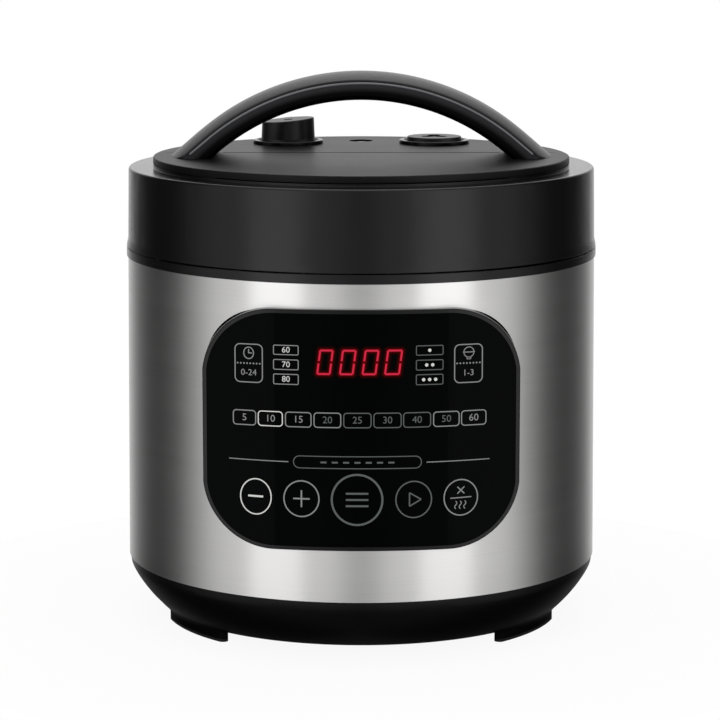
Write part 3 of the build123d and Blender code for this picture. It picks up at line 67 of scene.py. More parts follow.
# shader sheets: sockets that take plain arithmetic, and one way to add any node
class Wire:
    def __init__(self, sheet, socket):
        self.sheet, self.socket = sheet, socket

    def blend(self, operation, first, second):
        return self.sheet.add("ShaderNodeMath", {"operation": operation}, {0: first, 1: second})

    def __add__(self, other):
        return self.blend("ADD", self, other)

    def __sub__(self, other):
        return self.blend("SUBTRACT", self, other)

    def __mul__(self, other):
        return self.blend("MULTIPLY", self, other)

    def __truediv__(self, other):
        return self.blend("DIVIDE", self, other)

    def __pow__(self, other):
        return self.blend("POWER", self, other)

    def __radd__(self, other):
        return self.blend("ADD", other, self)

    def __rsub__(self, other):
        return self.blend("SUBTRACT", other, self)

    def __rmul__(self, other):
        return self.blend("MULTIPLY", other, self)

    def above(self, low, high):
        # 0 below low, 1 above high
        return self.sheet.add("ShaderNodeMapRange", {"interpolation_type": "SMOOTHSTEP"},
                              {0: self, 1: low, 2: high, 3: 0.0, 4: 1.0})


class Sheet:
    def __init__(self, tree):
        self.tree = tree
        tree.nodes.clear()

    def add(self, kind, settings=None, sockets=None, output=0):
        node = self.tree.nodes.new(kind)
        for name, value in (settings or {}).items():
            if name == "stops":
                ramp = node.color_ramp.elements
                while len(ramp) < len(value):
                    ramp.new(0.5)
                for element, (place, colour) in zip(ramp, value):
                    element.position, element.color = place, colour
            else:
                setattr(node, name, value)
        for name, value in (sockets or {}).items():
            target = node.inputs[name]
            if isinstance(value, Wire):
                self.tree.links.new(value.socket, target)
            else:
                target.default_value = value
        return Wire(self, node.outputs[output])

    def split(self, kind, names, settings=None, sockets=None):
        # several outputs of one node
        first = self.add(kind, settings, sockets, names[0])
        return [first] + [Wire(self, first.socket.node.outputs[name]) for name in names[1:]]

    def finish(self, kind, surface):
        output = self.tree.nodes.new(kind)
        self.tree.links.new(surface.socket, output.inputs["Surface"])

    def place(self, turn=(0, 0, 0), scale=(1, 1, 1)):
        # the piece's own coordinates in metres, turned and scaled for a pattern
        where = self.add("ShaderNodeTexCoord", output="Object")
        return self.add("ShaderNodeMapping", None, {"Vector": where, "Rotation": turn, "Scale": scale})

    def noise(self, where, scale, detail=3.0, rough=0.5):
        return self.add("ShaderNodeTexNoise", None,
                        {"Vector": where, "Scale": scale, "Detail": detail, "Roughness": rough})

    def tint(self, mask, first, second):
        return self.add("ShaderNodeMix", {"data_type": "RGBA"}, {0: mask, 6: (*first, 1), 7: (*second, 1)}, 2)

    def bump(self, height, distance):
        return self.add("ShaderNodeBump", None, {"Height": height, "Distance": distance, "Strength": 1.0})


def makeFinish(name, recipe, **constants):
    # constants go straight to the shader's sockets, recipe links what varies over the surface
    material = bpy.data.materials.new(name)
    material.use_nodes = True
    sheet = Sheet(material.node_tree)
    surface = sheet.add("ShaderNodeBsdfPrincipled", None, {**constants, **recipe(sheet)})
    sheet.finish("ShaderNodeOutputMaterial", surface)
    return material


def grained(colour, darker, rough, grain=0.00012, depth=0.00002, spread=0.05):
    # moulded plastic: fine grain, faint cloudiness in colour and gloss
    def recipe(sheet):
        where = sheet.place()
        fine = sheet.noise(where, 1 / grain, 2.0)
        cloud = sheet.noise(where, 14.0, 4.0)
        return {
            "Base Color": sheet.tint(cloud, darker, colour),
            "Roughness": rough + (cloud - 0.5) * spread,
            "Normal": sheet.bump(fine, depth),
        }
    return recipe


def hairlined(colour, darker, rough, lines=(6, 6, 1400), depth=0.000012):
    # brushed metal: fine lines around the body, with slow streaks in tone
    def recipe(sheet):
        fine = sheet.noise(sheet.place(scale=lines), 1.0, 3.0, 0.7)
        slow = sheet.noise(sheet.place(scale=(lines[0] / 3, lines[1] / 3, lines[2] / 9)), 1.0, 2.0)
        return {
            "Base Color": sheet.tint(fine * 0.6 + slow * 0.4, darker, colour),
            "Roughness": rough + (fine - 0.5) * 0.16 + (slow - 0.5) * 0.06,
            "Normal": sheet.bump(fine, depth),
        }
    return recipe


def spun(colour, darker, rough, scale=220.0, depth=0.00001):
    # turned or drawn metal: rings about the body's axis
    def recipe(sheet):
        where = sheet.place()
        along, across, up = sheet.split("ShaderNodeSeparateXYZ", (0, 1, 2), None, {0: where})
        radius = (along * along + across * across) ** 0.5
        coords = sheet.add("ShaderNodeCombineXYZ", None, {0: radius * scale, 1: up * scale, 2: 0.0})
        rings = sheet.noise(coords, 4.0, 4.0, 0.6)
        cloud = sheet.noise(where, 18.0, 3.0)
        return {
            "Base Color": sheet.tint(rings * 0.5 + cloud * 0.5, darker, colour),
            "Roughness": rough + (rings - 0.5) * 0.12 + (cloud - 0.5) * 0.1,
            "Normal": sheet.bump(rings, depth),
        }
    return recipe


def speckled(colour, darker, rough, size=0.0009, depth=0.00005):
    # coated, cast or rubbery surface: coarse speckle
    def recipe(sheet):
        where = sheet.place()
        specks = sheet.noise(where, 1 / size, 4.0, 0.65)
        return {
            "Base Color": sheet.tint(specks, darker, colour),
            "Roughness": rough + (specks - 0.5) * 0.15,
            "Normal": sheet.bump(specks, depth),
        }
    return recipe


def paintedSheenGrip(arch, colour, darker, rough):
    # the arch handle's lower half: a painted highlight, lighter where its side rounds over below the seam,
    # all in millimetres
    def recipe(sheet):
        where = sheet.place()
        along, up = sheet.split("ShaderNodeSeparateXYZ", (0, 2), None, {0: where})
        rise = up - arch["axis"] * mm
        radius = (along * along + rise * rise) ** 0.5
        paintedSheen = radius.above((arch["seam"] - arch["fade"]) * mm, (arch["seam"] - arch["edge"]) * mm)
        return {
            "Base Color": sheet.tint(paintedSheen, darker, colour),
            "Roughness": rough + (sheet.noise(where, 14.0, 4.0) - 0.5) * 0.05,
        }
    return recipe


metal = {"Metallic": 1.0}


def gloss(level):
    return {"Specular IOR Level": level}


# each finish: what varies over it, as colour, darker colour and roughness, and its constants
recipes = {
    "jacketSteel": (hairlined((0.70, 0.695, 0.69), (0.56, 0.555, 0.55), 0.32),
                    {**metal, "Anisotropic": 0.75, "Anisotropic Rotation": 0.25}),
    "vesselSteel": (spun((0.72, 0.715, 0.70), (0.60, 0.595, 0.58), 0.24), metal),
    "springSteel": (spun((0.55, 0.55, 0.55), (0.42, 0.42, 0.42), 0.3), metal),
    "zincPlate": (speckled((0.66, 0.66, 0.64), (0.52, 0.52, 0.50), 0.3, 0.0006), metal),
    "castAluminium": (speckled((0.74, 0.74, 0.73), (0.58, 0.58, 0.58), 0.42), metal),
    "potCoat": (speckled((0.075, 0.075, 0.078), (0.045, 0.045, 0.048), 0.34, 0.0007), {}),
    "satinBlack": (grained((0.0012, 0.0012, 0.0014), (0.0008, 0.0008, 0.001), 0.16), gloss(0.3)),
    "deckBlack": (grained((0.003, 0.003, 0.0033), (0.002, 0.002, 0.0023), 0.38, spread=0.08), gloss(0.13)),
    "handleBlack": (grained((0.003, 0.003, 0.0032), (0.002, 0.002, 0.0022), 0.3), gloss(0.5)),
    # black grip with a painted highlight below its seam
    "gripBlack": (paintedSheenGrip(grip, (0.03, 0.03, 0.032), (0.0006, 0.0006, 0.0007), 0.34), gloss(0.06)),
    # light grey: painted highlight line below the handle's seam
    "gripBeadHighlight": (grained((0.17, 0.17, 0.18), (0.14, 0.14, 0.15), 0.3), gloss(0.6)),
    # lighter grey tops: painted sheen on the up-facing faces of the knob and the button
    "knobTopSheen": (grained((0.20, 0.20, 0.205), (0.17, 0.17, 0.175), 0.45), {}),
    "buttonTopSheen": (grained((0.10, 0.10, 0.105), (0.085, 0.085, 0.09), 0.4), {}),
    # near black: painted shade in the deck's seam groove and on the float pin's top in its hole
    "wellShadeBlack": (grained((0.001, 0.001, 0.001), (0.0006, 0.0006, 0.0006), 0.9), gloss(0.02)),
    "knobBlack": (grained((0.0025, 0.0025, 0.0028), (0.0017, 0.0017, 0.002), 0.34, depth=0.000006),
                  gloss(0.3)),
    "baseBlack": (grained((0.002, 0.002, 0.0023), (0.0014, 0.0014, 0.0016), 0.26, depth=0.000004),
                  gloss(0.16)),
    "panelBlack": (grained((0.0006, 0.0008, 0.0008), (0.0004, 0.0005, 0.0005), 0.10, depth=0.000001,
                           spread=0.02), gloss(0.02)),
    "bezelBlack": (grained((0.003, 0.003, 0.0033), (0.002, 0.002, 0.0023), 0.2, depth=0.000004), gloss(0.22)),
    "footRubber": (speckled((0.012, 0.012, 0.012), (0.007, 0.007, 0.007), 0.75), gloss(0.3)),
    "sealSilicone": (speckled((0.62, 0.64, 0.63), (0.54, 0.56, 0.55), 0.5, 0.002, 0.00003),
                     {"Subsurface Weight": 0.15, "Subsurface Radius": (0.004, 0.004, 0.004),
                      "Subsurface Scale": 1.0}),
    "ceramic": (speckled((0.80, 0.77, 0.70), (0.72, 0.69, 0.62), 0.55, 0.001, 0.00003), {}),
    "circuitBoard": (speckled((0.03, 0.16, 0.07), (0.02, 0.11, 0.05), 0.4, 0.003, 0.00003), {}),
    "displayBody": (grained((0.03, 0.01, 0.01), (0.02, 0.006, 0.006), 0.3), {}),
    "brass": (speckled((0.70, 0.55, 0.28), (0.58, 0.44, 0.20), 0.28, 0.001), metal),
    "clearCup": (grained((0.80, 0.82, 0.83), (0.74, 0.76, 0.77), 0.22, depth=0.000004),
                 {"Transmission Weight": 0.85, "IOR": 1.49}),
}
finishes = {name: makeFinish(name, recipe, **constants) for name, (recipe, constants) in recipes.items()}


# marks fired into the glass, lit from behind: colour, strength of the light and gloss
prints = {
    "markBright": ((0.40, 0.40, 0.385), 0.7, 0.1), "markPlain": ((0.17, 0.175, 0.17), 0.5, 0.1),
    "markDim": ((0.075, 0.085, 0.082), 0.4, 0.1), "digitRed": ((0.36, 0.011, 0.032), 0.85, 0.1),
    "glowNear": ((0.05, 0.0002, 0.0002), 0.9, 0.02), "glowDim": ((0.012, 0.0002, 0.0002), 0.9, 0.02),
    "glowFaint": ((0.003, 0.0002, 0.0002), 0.9, 0.02),
}
for name, (tone, glow, level) in prints.items():
    darker = [value * 0.8 for value in tone]
    finishes[name] = makeFinish(name, grained(tone, darker, 0.4, depth=0.000001),
                                **{"Emission Color": (*tone, 1), "Emission Strength": glow}, **gloss(level))
print("finishes ready", len(finishes))


# mesh helpers
def smoothShape(mesh, sharp):
    mesh.polygons.foreach_set("use_smooth", [True] * len(mesh.polygons))
    mesh.set_sharp_from_angle(angle=math.radians(sharp))


def addPiece(name, mesh, finish, body):
    mesh.materials.clear()
    mesh.materials.append(finishes[finish])
    piece = bpy.data.objects.new(name, mesh)
    scene.collection.objects.link(piece)
    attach(piece, body)
    return piece


bodyOf = {node: body for body, names in frame["record"]["behaviour"]["bodies"].items() for node in names}


# forms that differ a little from the solids, all in millimetres
# the base's flank in the solid (top, foot, bend) and as shown (wall, knee, newFoot, newBend), each point as
# radius and height; the middle stays still, all moves from free outwards, and the ribs grow with the foot
flank = {"top": (141.5, 37.6), "foot": (116.2, 6.8), "bend": 105.0, "still": 105.0, "free": 112.0,
         "wall": 141.9, "knee": (141.5, 31.9), "newFoot": (122.0, 7.2), "newBend": 90.0, "soft": 1.2,
         "ribTop": 5.4, "ribGrowth": 1.011, "ribRadius": 120.7}
jacketGrowth = {"beyond": 130.0, "by": 0.65}
corners = {"halfWidth": 90.8, "radius": 36.5, "newRadius": 41.0, "lowDrop": 0.7, "highDrop": 0.9}
# the knob's top leans more than its solid's, and its pointer is lower; slopes in degrees
knob = {"slope": 2.6, "solidSlope": 2.5, "height": 14.2, "pointer": 0.3}
panelBox = [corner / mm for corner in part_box("panel_bezel")]
knobBox = [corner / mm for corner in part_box("valve_cap")]


def arcRadius(height, top, foot, bend):
    # radius at a height of a flank that bulges from foot to top, each given as radius and height
    run, rise = top[0] - foot[0], top[1] - foot[1]
    chord = math.hypot(run, rise)
    reach = math.sqrt(bend**2 - (chord / 2) ** 2)
    centreRadius = (top[0] + foot[0]) / 2 - reach * rise / chord
    centreHeight = (top[1] + foot[1]) / 2 + reach * run / chord
    return centreRadius + math.sqrt(bend**2 - (height - centreHeight) ** 2)


def newFlank(height):
    # an upright wall that turns softly into a leaning, slightly bulging flank
    lean = arcRadius(height, flank["knee"], flank["newFoot"], flank["newBend"])
    return (flank["wall"] + lean - math.hypot(flank["wall"] - lean, flank["soft"])) / 2


def widenBase(spot):
    # a fuller flank, with the feet a little further out
    radius = math.hypot(spot.x, spot.y)
    if spot.z >= flank["top"][1] or radius <= flank["still"]:
        return spot
    share = min(1.0, (radius - flank["still"]) / (flank["free"] - flank["still"]))
    foot, newFoot = flank["foot"], flank["newFoot"]
    if spot.z > foot[1]:
        along = (spot.z - foot[1]) / (flank["top"][1] - foot[1])
        height = newFoot[1] + along * (flank["top"][1] - newFoot[1])
        limit = newFlank(height)
        growth = limit / arcRadius(spot.z, flank["top"], foot, flank["bend"])
    else:
        along = max(0.0, (spot.z - flank["ribTop"]) / (foot[1] - flank["ribTop"]))
        height = spot.z + along * (newFoot[1] - foot[1])
        limit = flank["ribRadius"] + along * (newFoot[0] - flank["ribRadius"])
        growth = flank["ribGrowth"] + along * (newFoot[0] / foot[0] - flank["ribGrowth"])
    growth = min(1 + (growth - 1) * share, limit / radius)
    return Vector((spot.x * growth, spot.y * growth, spot.z + (height - spot.z) * share))


def widenJacket(spot):
    radius = math.hypot(spot.x, spot.y)
    growth = 1 + (jacketGrowth["by"] / radius if radius > jacketGrowth["beyond"] else 0)
    return Vector((spot.x * growth, spot.y * growth, spot.z))


def roundPanel(spot):
    # larger corners round the panel, which sits a little lower
    low, high = (corner.z for corner in panelBox)
    edge, radius, newRadius = corners["halfWidth"], corners["radius"], corners["newRadius"]
    across = abs(spot.x) - (edge - newRadius)
    middle = (low + high) / 2
    up = abs(spot.z - middle) - ((high - low) / 2 - newRadius)
    drop = corners["lowDrop"] + (corners["highDrop"] - corners["lowDrop"]) * (spot.z - low) / (high - low)
    if across <= 0 or up <= 0:
        return Vector((spot.x, spot.y, spot.z - drop))
    # the old outline's distance from the new corner's centre, in this direction
    step = newRadius - radius
    length = math.hypot(across, up)
    along, rise = across / length, up / length
    near = newRadius / max(along, rise)
    dot = step * (along + rise)
    rounded = dot + math.sqrt(dot**2 - 2 * step**2 + radius**2)
    old = rounded if near * min(along, rise) > step else near
    shrink = newRadius / old
    side, rise = edge - newRadius + across * shrink, (high - low) / 2 - newRadius + up * shrink
    return Vector((math.copysign(side, spot.x), spot.y, middle + math.copysign(rise, spot.z - middle) - drop))


def leanKnob(spot):
    # the top leans more to the left, its right end stays
    low, high = knobBox
    slope, solidSlope = (math.tan(math.radians(knob[name])) for name in ("slope", "solidSlope"))
    top = low.z + knob["height"] + (spot.x - (low.x + high.x) / 2) * solidSlope
    height = top + (spot.z - top) * knob["pointer"] if spot.z > top else spot.z
    share = (height - low.z) / knob["height"]
    return Vector((spot.x, spot.y, height - share * (high.x - spot.x) * slope))


reshape = {"base_shell": widenBase, "foot_pads": widenBase, "steel_shell": widenJacket,
           "panel_bezel": roundPanel, "panel_glass": roundPanel, "valve_cap": leanKnob}
# planes through which a skin is cut first, so that it can bend there: a point in millimetres and a direction
levelCuts = [((0, 0, height), (0, 0, 1)) for height in (*range(8, 37, 2), 5.4, 6.1, 6.8)]
sideCuts = [((side * place, 0, 0), (1, 0, 0)) for side in (-1, 1) for place in (49.8, 52.0, 54.3)]
cuts = {"base_shell": levelCuts, "panel_glass": sideCuts, "panel_bezel": sideCuts}

# hard edges of moulded pieces are rounded by these radii, in millimetres
softEdges = {"handle_top": 0.45, "handle_grip": 0.6, "valve_cap": 0.5, "valve_collar": 0.35,
             "button_collar": 0.35, "release_button": 0.4, "panel_bezel": 0.3}
# faces that look straight up have a finish of their own on these: a painted sheen on the knob's and the
# button's tops, painted shade on the float pin's top in its hole
paintedTops = {"valve_cap": "knobTopSheen", "release_button": "buttonTopSheen", "float_pin": "wellShadeBlack"}
# the least radius of outer walls that are plain cylinders and get a cylinder's normals
cylinders = {"steel_shell": 141.0}
# how skins are cleaned: welding and cutting distances in millimetres, then angles in degrees
cleaning = {"weld": 0.002, "cut": 0.001, "flat": 0.3, "hard": 35, "sharp": 30}
# the least cosines of faces that count as looking up or outwards
facing = {"up": 0.9, "out": 0.99}


def roundNormals(mesh, radius):
    normals = [corner.vector.copy() for corner in mesh.corner_normals]
    for face in mesh.polygons:
        outward = Vector((face.center.x, face.center.y, 0))
        if outward.length > radius * mm and face.normal.dot(outward.normalized()) > facing["out"]:
            for corner in face.loop_indices:
                spot = mesh.vertices[mesh.loops[corner].vertex_index].co
                normals[corner] = Vector((spot.x, spot.y, 0)).normalized()
    mesh.normals_split_custom_set(normals)


def skinNode(node, finish):
    # a merged, evenly shaded copy of a solid, shown in its place
    mesh = nodes[node].data.copy()
    shape = bmesh.new()
    shape.from_mesh(mesh)
    bmesh.ops.remove_doubles(shape, verts=shape.verts, dist=cleaning["weld"] * mm)
    bmesh.ops.dissolve_limit(shape, angle_limit=math.radians(cleaning["flat"]), verts=shape.verts,
                             edges=shape.edges)
    for place, normal in cuts.get(node, []):
        bmesh.ops.bisect_plane(shape, geom=list(shape.verts) + list(shape.edges) + list(shape.faces),
                               dist=cleaning["cut"] * mm, plane_co=Vector(place) * mm, plane_no=normal)
    if node in reshape:
        for vert in shape.verts:
            vert.co = reshape[node](vert.co / mm) * mm
    if node in softEdges:
        hard = [edge for edge in shape.edges if len(edge.link_faces) == 2
                and edge.calc_face_angle() > math.radians(cleaning["hard"])]
        bmesh.ops.bevel(shape, geom=hard, offset=softEdges[node] * mm, segments=2, profile=0.5,
                        affect="EDGES", clamp_overlap=True, material=-1)
    # up-facing faces take the painted sheen or painted shade finish
    if node in paintedTops:
        shape.normal_update()
        for face in shape.faces:
            face.material_index = 1 if face.normal.z > facing["up"] else 0
    shape.to_mesh(mesh)
    shape.free()
    mesh.name = node + "Skin"
    smoothShape(mesh, cleaning["sharp"])
    piece = addPiece(node + "Skin", mesh, finish, bodyOf[node])
    if node in paintedTops:
        mesh.materials.append(finishes[paintedTops[node]])
    if node in cylinders:
        roundNormals(mesh, cylinders[node])
    else:
        weigh = piece.modifiers.new("evenShade", "WEIGHTED_NORMAL")
        weigh.keep_sharp = True
    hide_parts(node)


def wearFinish(node, finish):
    data = nodes[node].data
    data.materials.clear()
    data.materials.append(finishes[finish])


# camera
camera = {"place": (-0.00074, -1.7781, 0.4521), "down": 9.511, "lens": 147.47, "sensor": 36.0}


def makeCamera(settings):
    data = bpy.data.cameras.new("viewCamera")
    data.lens, data.sensor_width = settings["lens"], settings["sensor"]
    data.clip_start, data.clip_end = 0.05, 50.0
    viewer = bpy.data.objects.new("viewCamera", data)
    viewer.location = settings["place"]
    viewer.rotation_euler = (math.radians(90 - settings["down"]), 0, 0)
    scene.collection.objects.link(viewer)
    scene.camera = viewer


makeCamera(camera)

# solids that keep their shape
skinFinishes = {
    "steel_shell": "jacketSteel", "upper_ring": "satinBlack", "base_shell": "baseBlack",
    "bottom_plate": "satinBlack", "foot_pads": "footRubber", "base_screws": "zincPlate",
    "pressure_spring_plate": "springSteel", "bar_screws": "zincPlate", "outer_pot": "vesselSteel",
    "outer_pot_screws": "zincPlate", "inner_pot": "potCoat", "heating_plate": "castAluminium",
    "heater_terminals": "ceramic", "sensor_cap": "castAluminium", "sensor_spring": "springSteel",
    "panel_bezel": "bezelBlack", "panel_glass": "panelBlack", "power_inlet": "satinBlack",
    "inlet_pins": "brass", "inlet_screws": "zincPlate", "drip_rail": "satinBlack", "drip_cup": "clearCup",
    "lid_cover": "satinBlack", "lid_deck": "deckBlack", "steel_lid": "vesselSteel",
    "sealing_ring": "sealSilicone", "seal_rack": "vesselSteel",
    "handle_top": "handleBlack", "handle_grip": "gripBlack",
    "valve_pipe": "vesselSteel", "valve_nut": "vesselSteel", "filter_cap": "vesselSteel",
    "drain_spout": "satinBlack", "valve_collar": "satinBlack",
    "valve_weight": "zincPlate", "valve_cap": "knobBlack",
    "float_seat": "vesselSteel", "float_pin": "zincPlate", "float_gasket": "sealSilicone",
    "button_collar": "satinBlack", "release_button": "knobBlack", "button_spring": "springSteel",
    "release_poppet": "vesselSteel", "poppet_seat": "vesselSteel",
}
plainFinishes = {
    "pressure_switch": "satinBlack", "thermal_fuse": "zincPlate", "power_board": "circuitBoard",
    "control_board": "circuitBoard", "display_module": "displayBody", "lid_screws": "zincPlate",
    "handle_screws": "zincPlate",
}
for node, finish in skinFinishes.items():
    skinNode(node, finish)
for node, finish in plainFinishes.items():
    wearFinish(node, finish)
print("solids dressed", len(skinFinishes) + len(plainFinishes))

# springs, each given a mesh of its own; the joint, axis, anchor and kept share passed along are not used
springs = {"button_spring": "button_press", "sensor_spring": "sensor_press"}
travels = {joint["name"]: joint["range_m"][1] for joint in frame["record"]["behaviour"]["joints"]
           if "range_m" in joint}
for node, joint in springs.items():
    low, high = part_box(node)
    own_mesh(bpy.data.objects[node + "Skin"], joint, axis=(0, 0, 1),
              anchor=((low.x + high.x) / 2, (low.y + high.y) / 2, low.z),
              keep=1 - travels[joint] / (high.z - low.z))
print("springs tied to", ", ".join(springs.values()))


# a light grey bead below the handle's seam, along both sides of its lower half: a painted highlight line on
# the rounded top edge of the lower half
def alongSeam(length):
    # the spot on the bead's line at this length from the crest: an arc, then a straight leg
    radius, bend = grip["seam"] - grip["beadDrop"], math.radians(grip["bend"])
    angle = min(abs(length) / radius, bend)
    leg = max(abs(length) - radius * bend, 0)
    out = radius * math.sin(angle) + leg * math.cos(angle)
    return math.copysign(out, length), grip["axis"] + radius * math.cos(angle) - leg * math.sin(angle)


def addBead(name, side):
    shape = bmesh.new()
    shape.from_mesh(nodes["handle_grip"].data)
    tree = BVHTree.FromBMesh(shape)
    shape.free()
    points = []
    for step in range(-grip["beadSteps"], grip["beadSteps"] + 1):
        x, z = alongSeam(step / grip["beadSteps"] * grip["beadReach"])
        hit = tree.ray_cast(Vector((x, side * 100, z)) * mm, Vector((0, -side, 0)))[0]
        if hit:
            points.append((hit.x, hit.y - side * (grip["bead"] - grip["beadOut"]) * mm, hit.z, 1))
    data = bpy.data.curves.new("gripBeadHighlight", "CURVE")
    data.dimensions, data.use_fill_caps = "3D", True
    data.bevel_depth, data.bevel_resolution = grip["bead"] * mm, 3
    spline = data.splines.new("POLY")
    spline.points.add(len(points) - 1)
    for point, place in zip(spline.points, points):
        point.co = place
    holder = bpy.data.objects.new("gripBeadHighlight", data)
    mesh = bpy.data.meshes.new_from_object(holder)
    bpy.data.objects.remove(holder)
    bpy.data.curves.remove(data)
    smoothShape(mesh, grip["beadSmooth"])
    addPiece(name, mesh, "gripBeadHighlight", bodyOf["handle_grip"])
    print(name, "of", len(points), "points")


addBead("gripBeadFront", -1)
addBead("gripBeadBack", 1)


# the line across the deck where its two halves meet, as a near-black strip laid on the deck: painted shade of
# the groove there
seam = {"y": 15.0, "width": 2.2, "halfLength": 84.0, "lift": 0.03, "thick": 0.4}


def addSeam():
    shape = bmesh.new()
    bmesh.ops.create_cube(shape, size=1)
    size = Vector((2 * seam["halfLength"], seam["width"], seam["thick"])) * mm
    bmesh.ops.scale(shape, verts=shape.verts, vec=size)
    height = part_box("lid_deck")[1].z + (seam["lift"] - seam["thick"] / 2) * mm
    bmesh.ops.translate(shape, verts=shape.verts, vec=Vector((0, seam["y"] * mm, height)))
    mesh = bpy.data.meshes.new("deckSeamShade")
    shape.to_mesh(mesh)
    shape.free()
    addPiece("deckSeamShade", mesh, "wellShadeBlack", bodyOf["lid_deck"])


addSeam()

# marks on the touch glass, drawn flat in millimetres and then laid on its curve
glass = {"curveRadius": 220.7, "curveY": 78.0, "raise": 0.05, "strip": 3.0, "weld": 0.001, "cut": 0.0005}


def addPlate(shape, x, z, width, height, corner):
    # flat plate with rounded corners facing the front, returned as its one face
    made = bmesh.ops.create_grid(shape, x_segments=1, y_segments=1, size=0.5)["verts"]
    place = Matrix.Translation((x, 0, z)) @ Matrix.Rotation(math.radians(90), 4, "X")
    bmesh.ops.transform(shape, matrix=place @ Matrix.Diagonal((width, height, 1, 1)), verts=made)
    cut = bmesh.ops.bevel(shape, geom=made, offset=corner, segments=6, profile=0.5, affect="VERTICES",
                          material=-1)
    return cut["verts"][0].link_faces[0]


def addDisc(shape, x, z, radius, sides):
    made = bmesh.ops.create_circle(shape, cap_ends=True, segments=sides, radius=radius)["verts"]
    place = Matrix.Translation((x, 0, z)) @ Matrix.Rotation(math.radians(90), 4, "X")
    bmesh.ops.transform(shape, matrix=place, verts=made)
    return made[0].link_faces[0]


def hollow(shape, face, line):
    # keep only a rim of the face, as wide as the line
    bmesh.ops.inset_region(shape, faces=[face], thickness=line, depth=0, use_boundary=True,
                           use_even_offset=True)
    bmesh.ops.delete(shape, geom=[face], context="FACES")


def addFrame(shape, x, z, width, height, corner, line):
    hollow(shape, addPlate(shape, x, z, width, height, corner), line)


def addRing(shape, x, z, radius, line, slim):
    # slim is the ring's width over its height
    face = addDisc(shape, x, z, radius, 72)
    for vert in face.verts:
        vert.co.x = x + (vert.co.x - x) * slim
    hollow(shape, face, line)


def addStroke(shape, start, end, line):
    # straight bar from start to end
    (x0, z0), (x1, z1) = start, end
    length, angle = math.hypot(x1 - x0, z1 - z0), math.atan2(z1 - z0, x1 - x0)
    made = bmesh.ops.create_grid(shape, x_segments=1, y_segments=1, size=0.5)["verts"]
    place = Matrix.Translation(((x0 + x1) / 2, 0, (z0 + z1) / 2)) @ Matrix.Rotation(-angle, 4, "Y")
    place = place @ Matrix.Rotation(math.radians(90), 4, "X")
    bmesh.ops.transform(shape, matrix=place @ Matrix.Diagonal((length, line, 1, 1)), verts=made)


def addArc(shape, x, z, radius, start, end, line, steps):
    # curved bar between two angles in degrees
    points = [(x + radius * math.cos(math.radians(start + (end - start) * step / steps)),
               z + radius * math.sin(math.radians(start + (end - start) * step / steps)))
              for step in range(steps + 1)]
    for first, second in zip(points, points[1:]):
        addStroke(shape, first, second, line)


def flatNumber(text, height):
    # a number as a flat mesh in the XY plane, its middle at the origin
    data = bpy.data.curves.new("number", "FONT")
    data.body, data.size = text, height * 1.39  # the font's digits are 0.72 of its size
    data.align_x, data.align_y = "CENTER", "CENTER"
    data.resolution_u = 3
    holder = bpy.data.objects.new("number", data)
    flat = bpy.data.meshes.new_from_object(holder)
    bpy.data.objects.remove(holder)
    bpy.data.curves.remove(data)
    return flat


def addNumber(shape, text, x, z, height):
    flat = flatNumber(text, height)
    flat.transform(Matrix.Translation((x, 0, z)) @ Matrix.Rotation(math.radians(90), 4, "X"))
    shape.from_mesh(flat)
    bpy.data.meshes.remove(flat)


def layOnGlass(shape, name, finish, thick=glass["raise"]):
    # cut into narrow strips, thicken, and bend onto the glass
    bmesh.ops.remove_doubles(shape, verts=shape.verts, dist=glass["weld"])
    reach = int(max(abs(vert.co.x) for vert in shape.verts) // glass["strip"]) + 1
    for step in range(-reach, reach + 1):
        bmesh.ops.bisect_plane(shape, geom=list(shape.verts) + list(shape.edges) + list(shape.faces),
                               dist=glass["cut"], plane_co=(step * glass["strip"], 0, 0), plane_no=(1, 0, 0))
    lifted = bmesh.ops.extrude_face_region(shape, geom=list(shape.faces))["geom"]
    top = [item for item in lifted if isinstance(item, bmesh.types.BMVert)]
    bmesh.ops.translate(shape, vec=(0, -thick, 0), verts=top)
    bmesh.ops.recalc_face_normals(shape, faces=shape.faces)
    for vert in shape.verts:
        radius = glass["curveRadius"] - vert.co.y
        vert.co.y = glass["curveY"] - math.sqrt(radius**2 - vert.co.x**2)
    bmesh.ops.scale(shape, vec=(mm, mm, mm), verts=shape.verts)
    mesh = bpy.data.meshes.new(name)
    shape.to_mesh(mesh)
    shape.free()
    addPiece(name, mesh, finish, bodyOf["panel_glass"])


flats = {tone: bmesh.new() for tone in ("markBright", "markPlain", "markDim")}

programs = {
    "edges": [(-73.0, -59.6), (-58.7, -44.4), (-43.2, -28.1), (-27.0, -11.3), (-10.2, 5.8), (6.8, 22.8),
              (23.6, 39.5), (40.6, 55.7), (56.5, 71.1)],
    "middle": 143.45, "height": 8.9, "corner": 2.1, "line": 0.58, "number": 4.1,
    "minutes": ["5", "10", "15", "20", "25", "30", "40", "50", "60"],
    "frameTone": ["markPlain", "markBright", "markPlain", "markPlain", "markDim", "markDim", "markDim",
                  "markPlain", "markPlain"],
    "numberTone": ["markPlain", "markPlain", "markPlain", "markDim", "markDim", "markDim", "markDim",
                   "markDim", "markPlain"],
}
for index, (left, right) in enumerate(programs["edges"]):
    middle, z = (left + right) / 2, programs["middle"]
    addFrame(flats[programs["frameTone"][index]], middle, z, right - left, programs["height"],
             programs["corner"], programs["line"])
    addNumber(flats[programs["numberTone"][index]], programs["minutes"][index], middle, z, programs["number"])

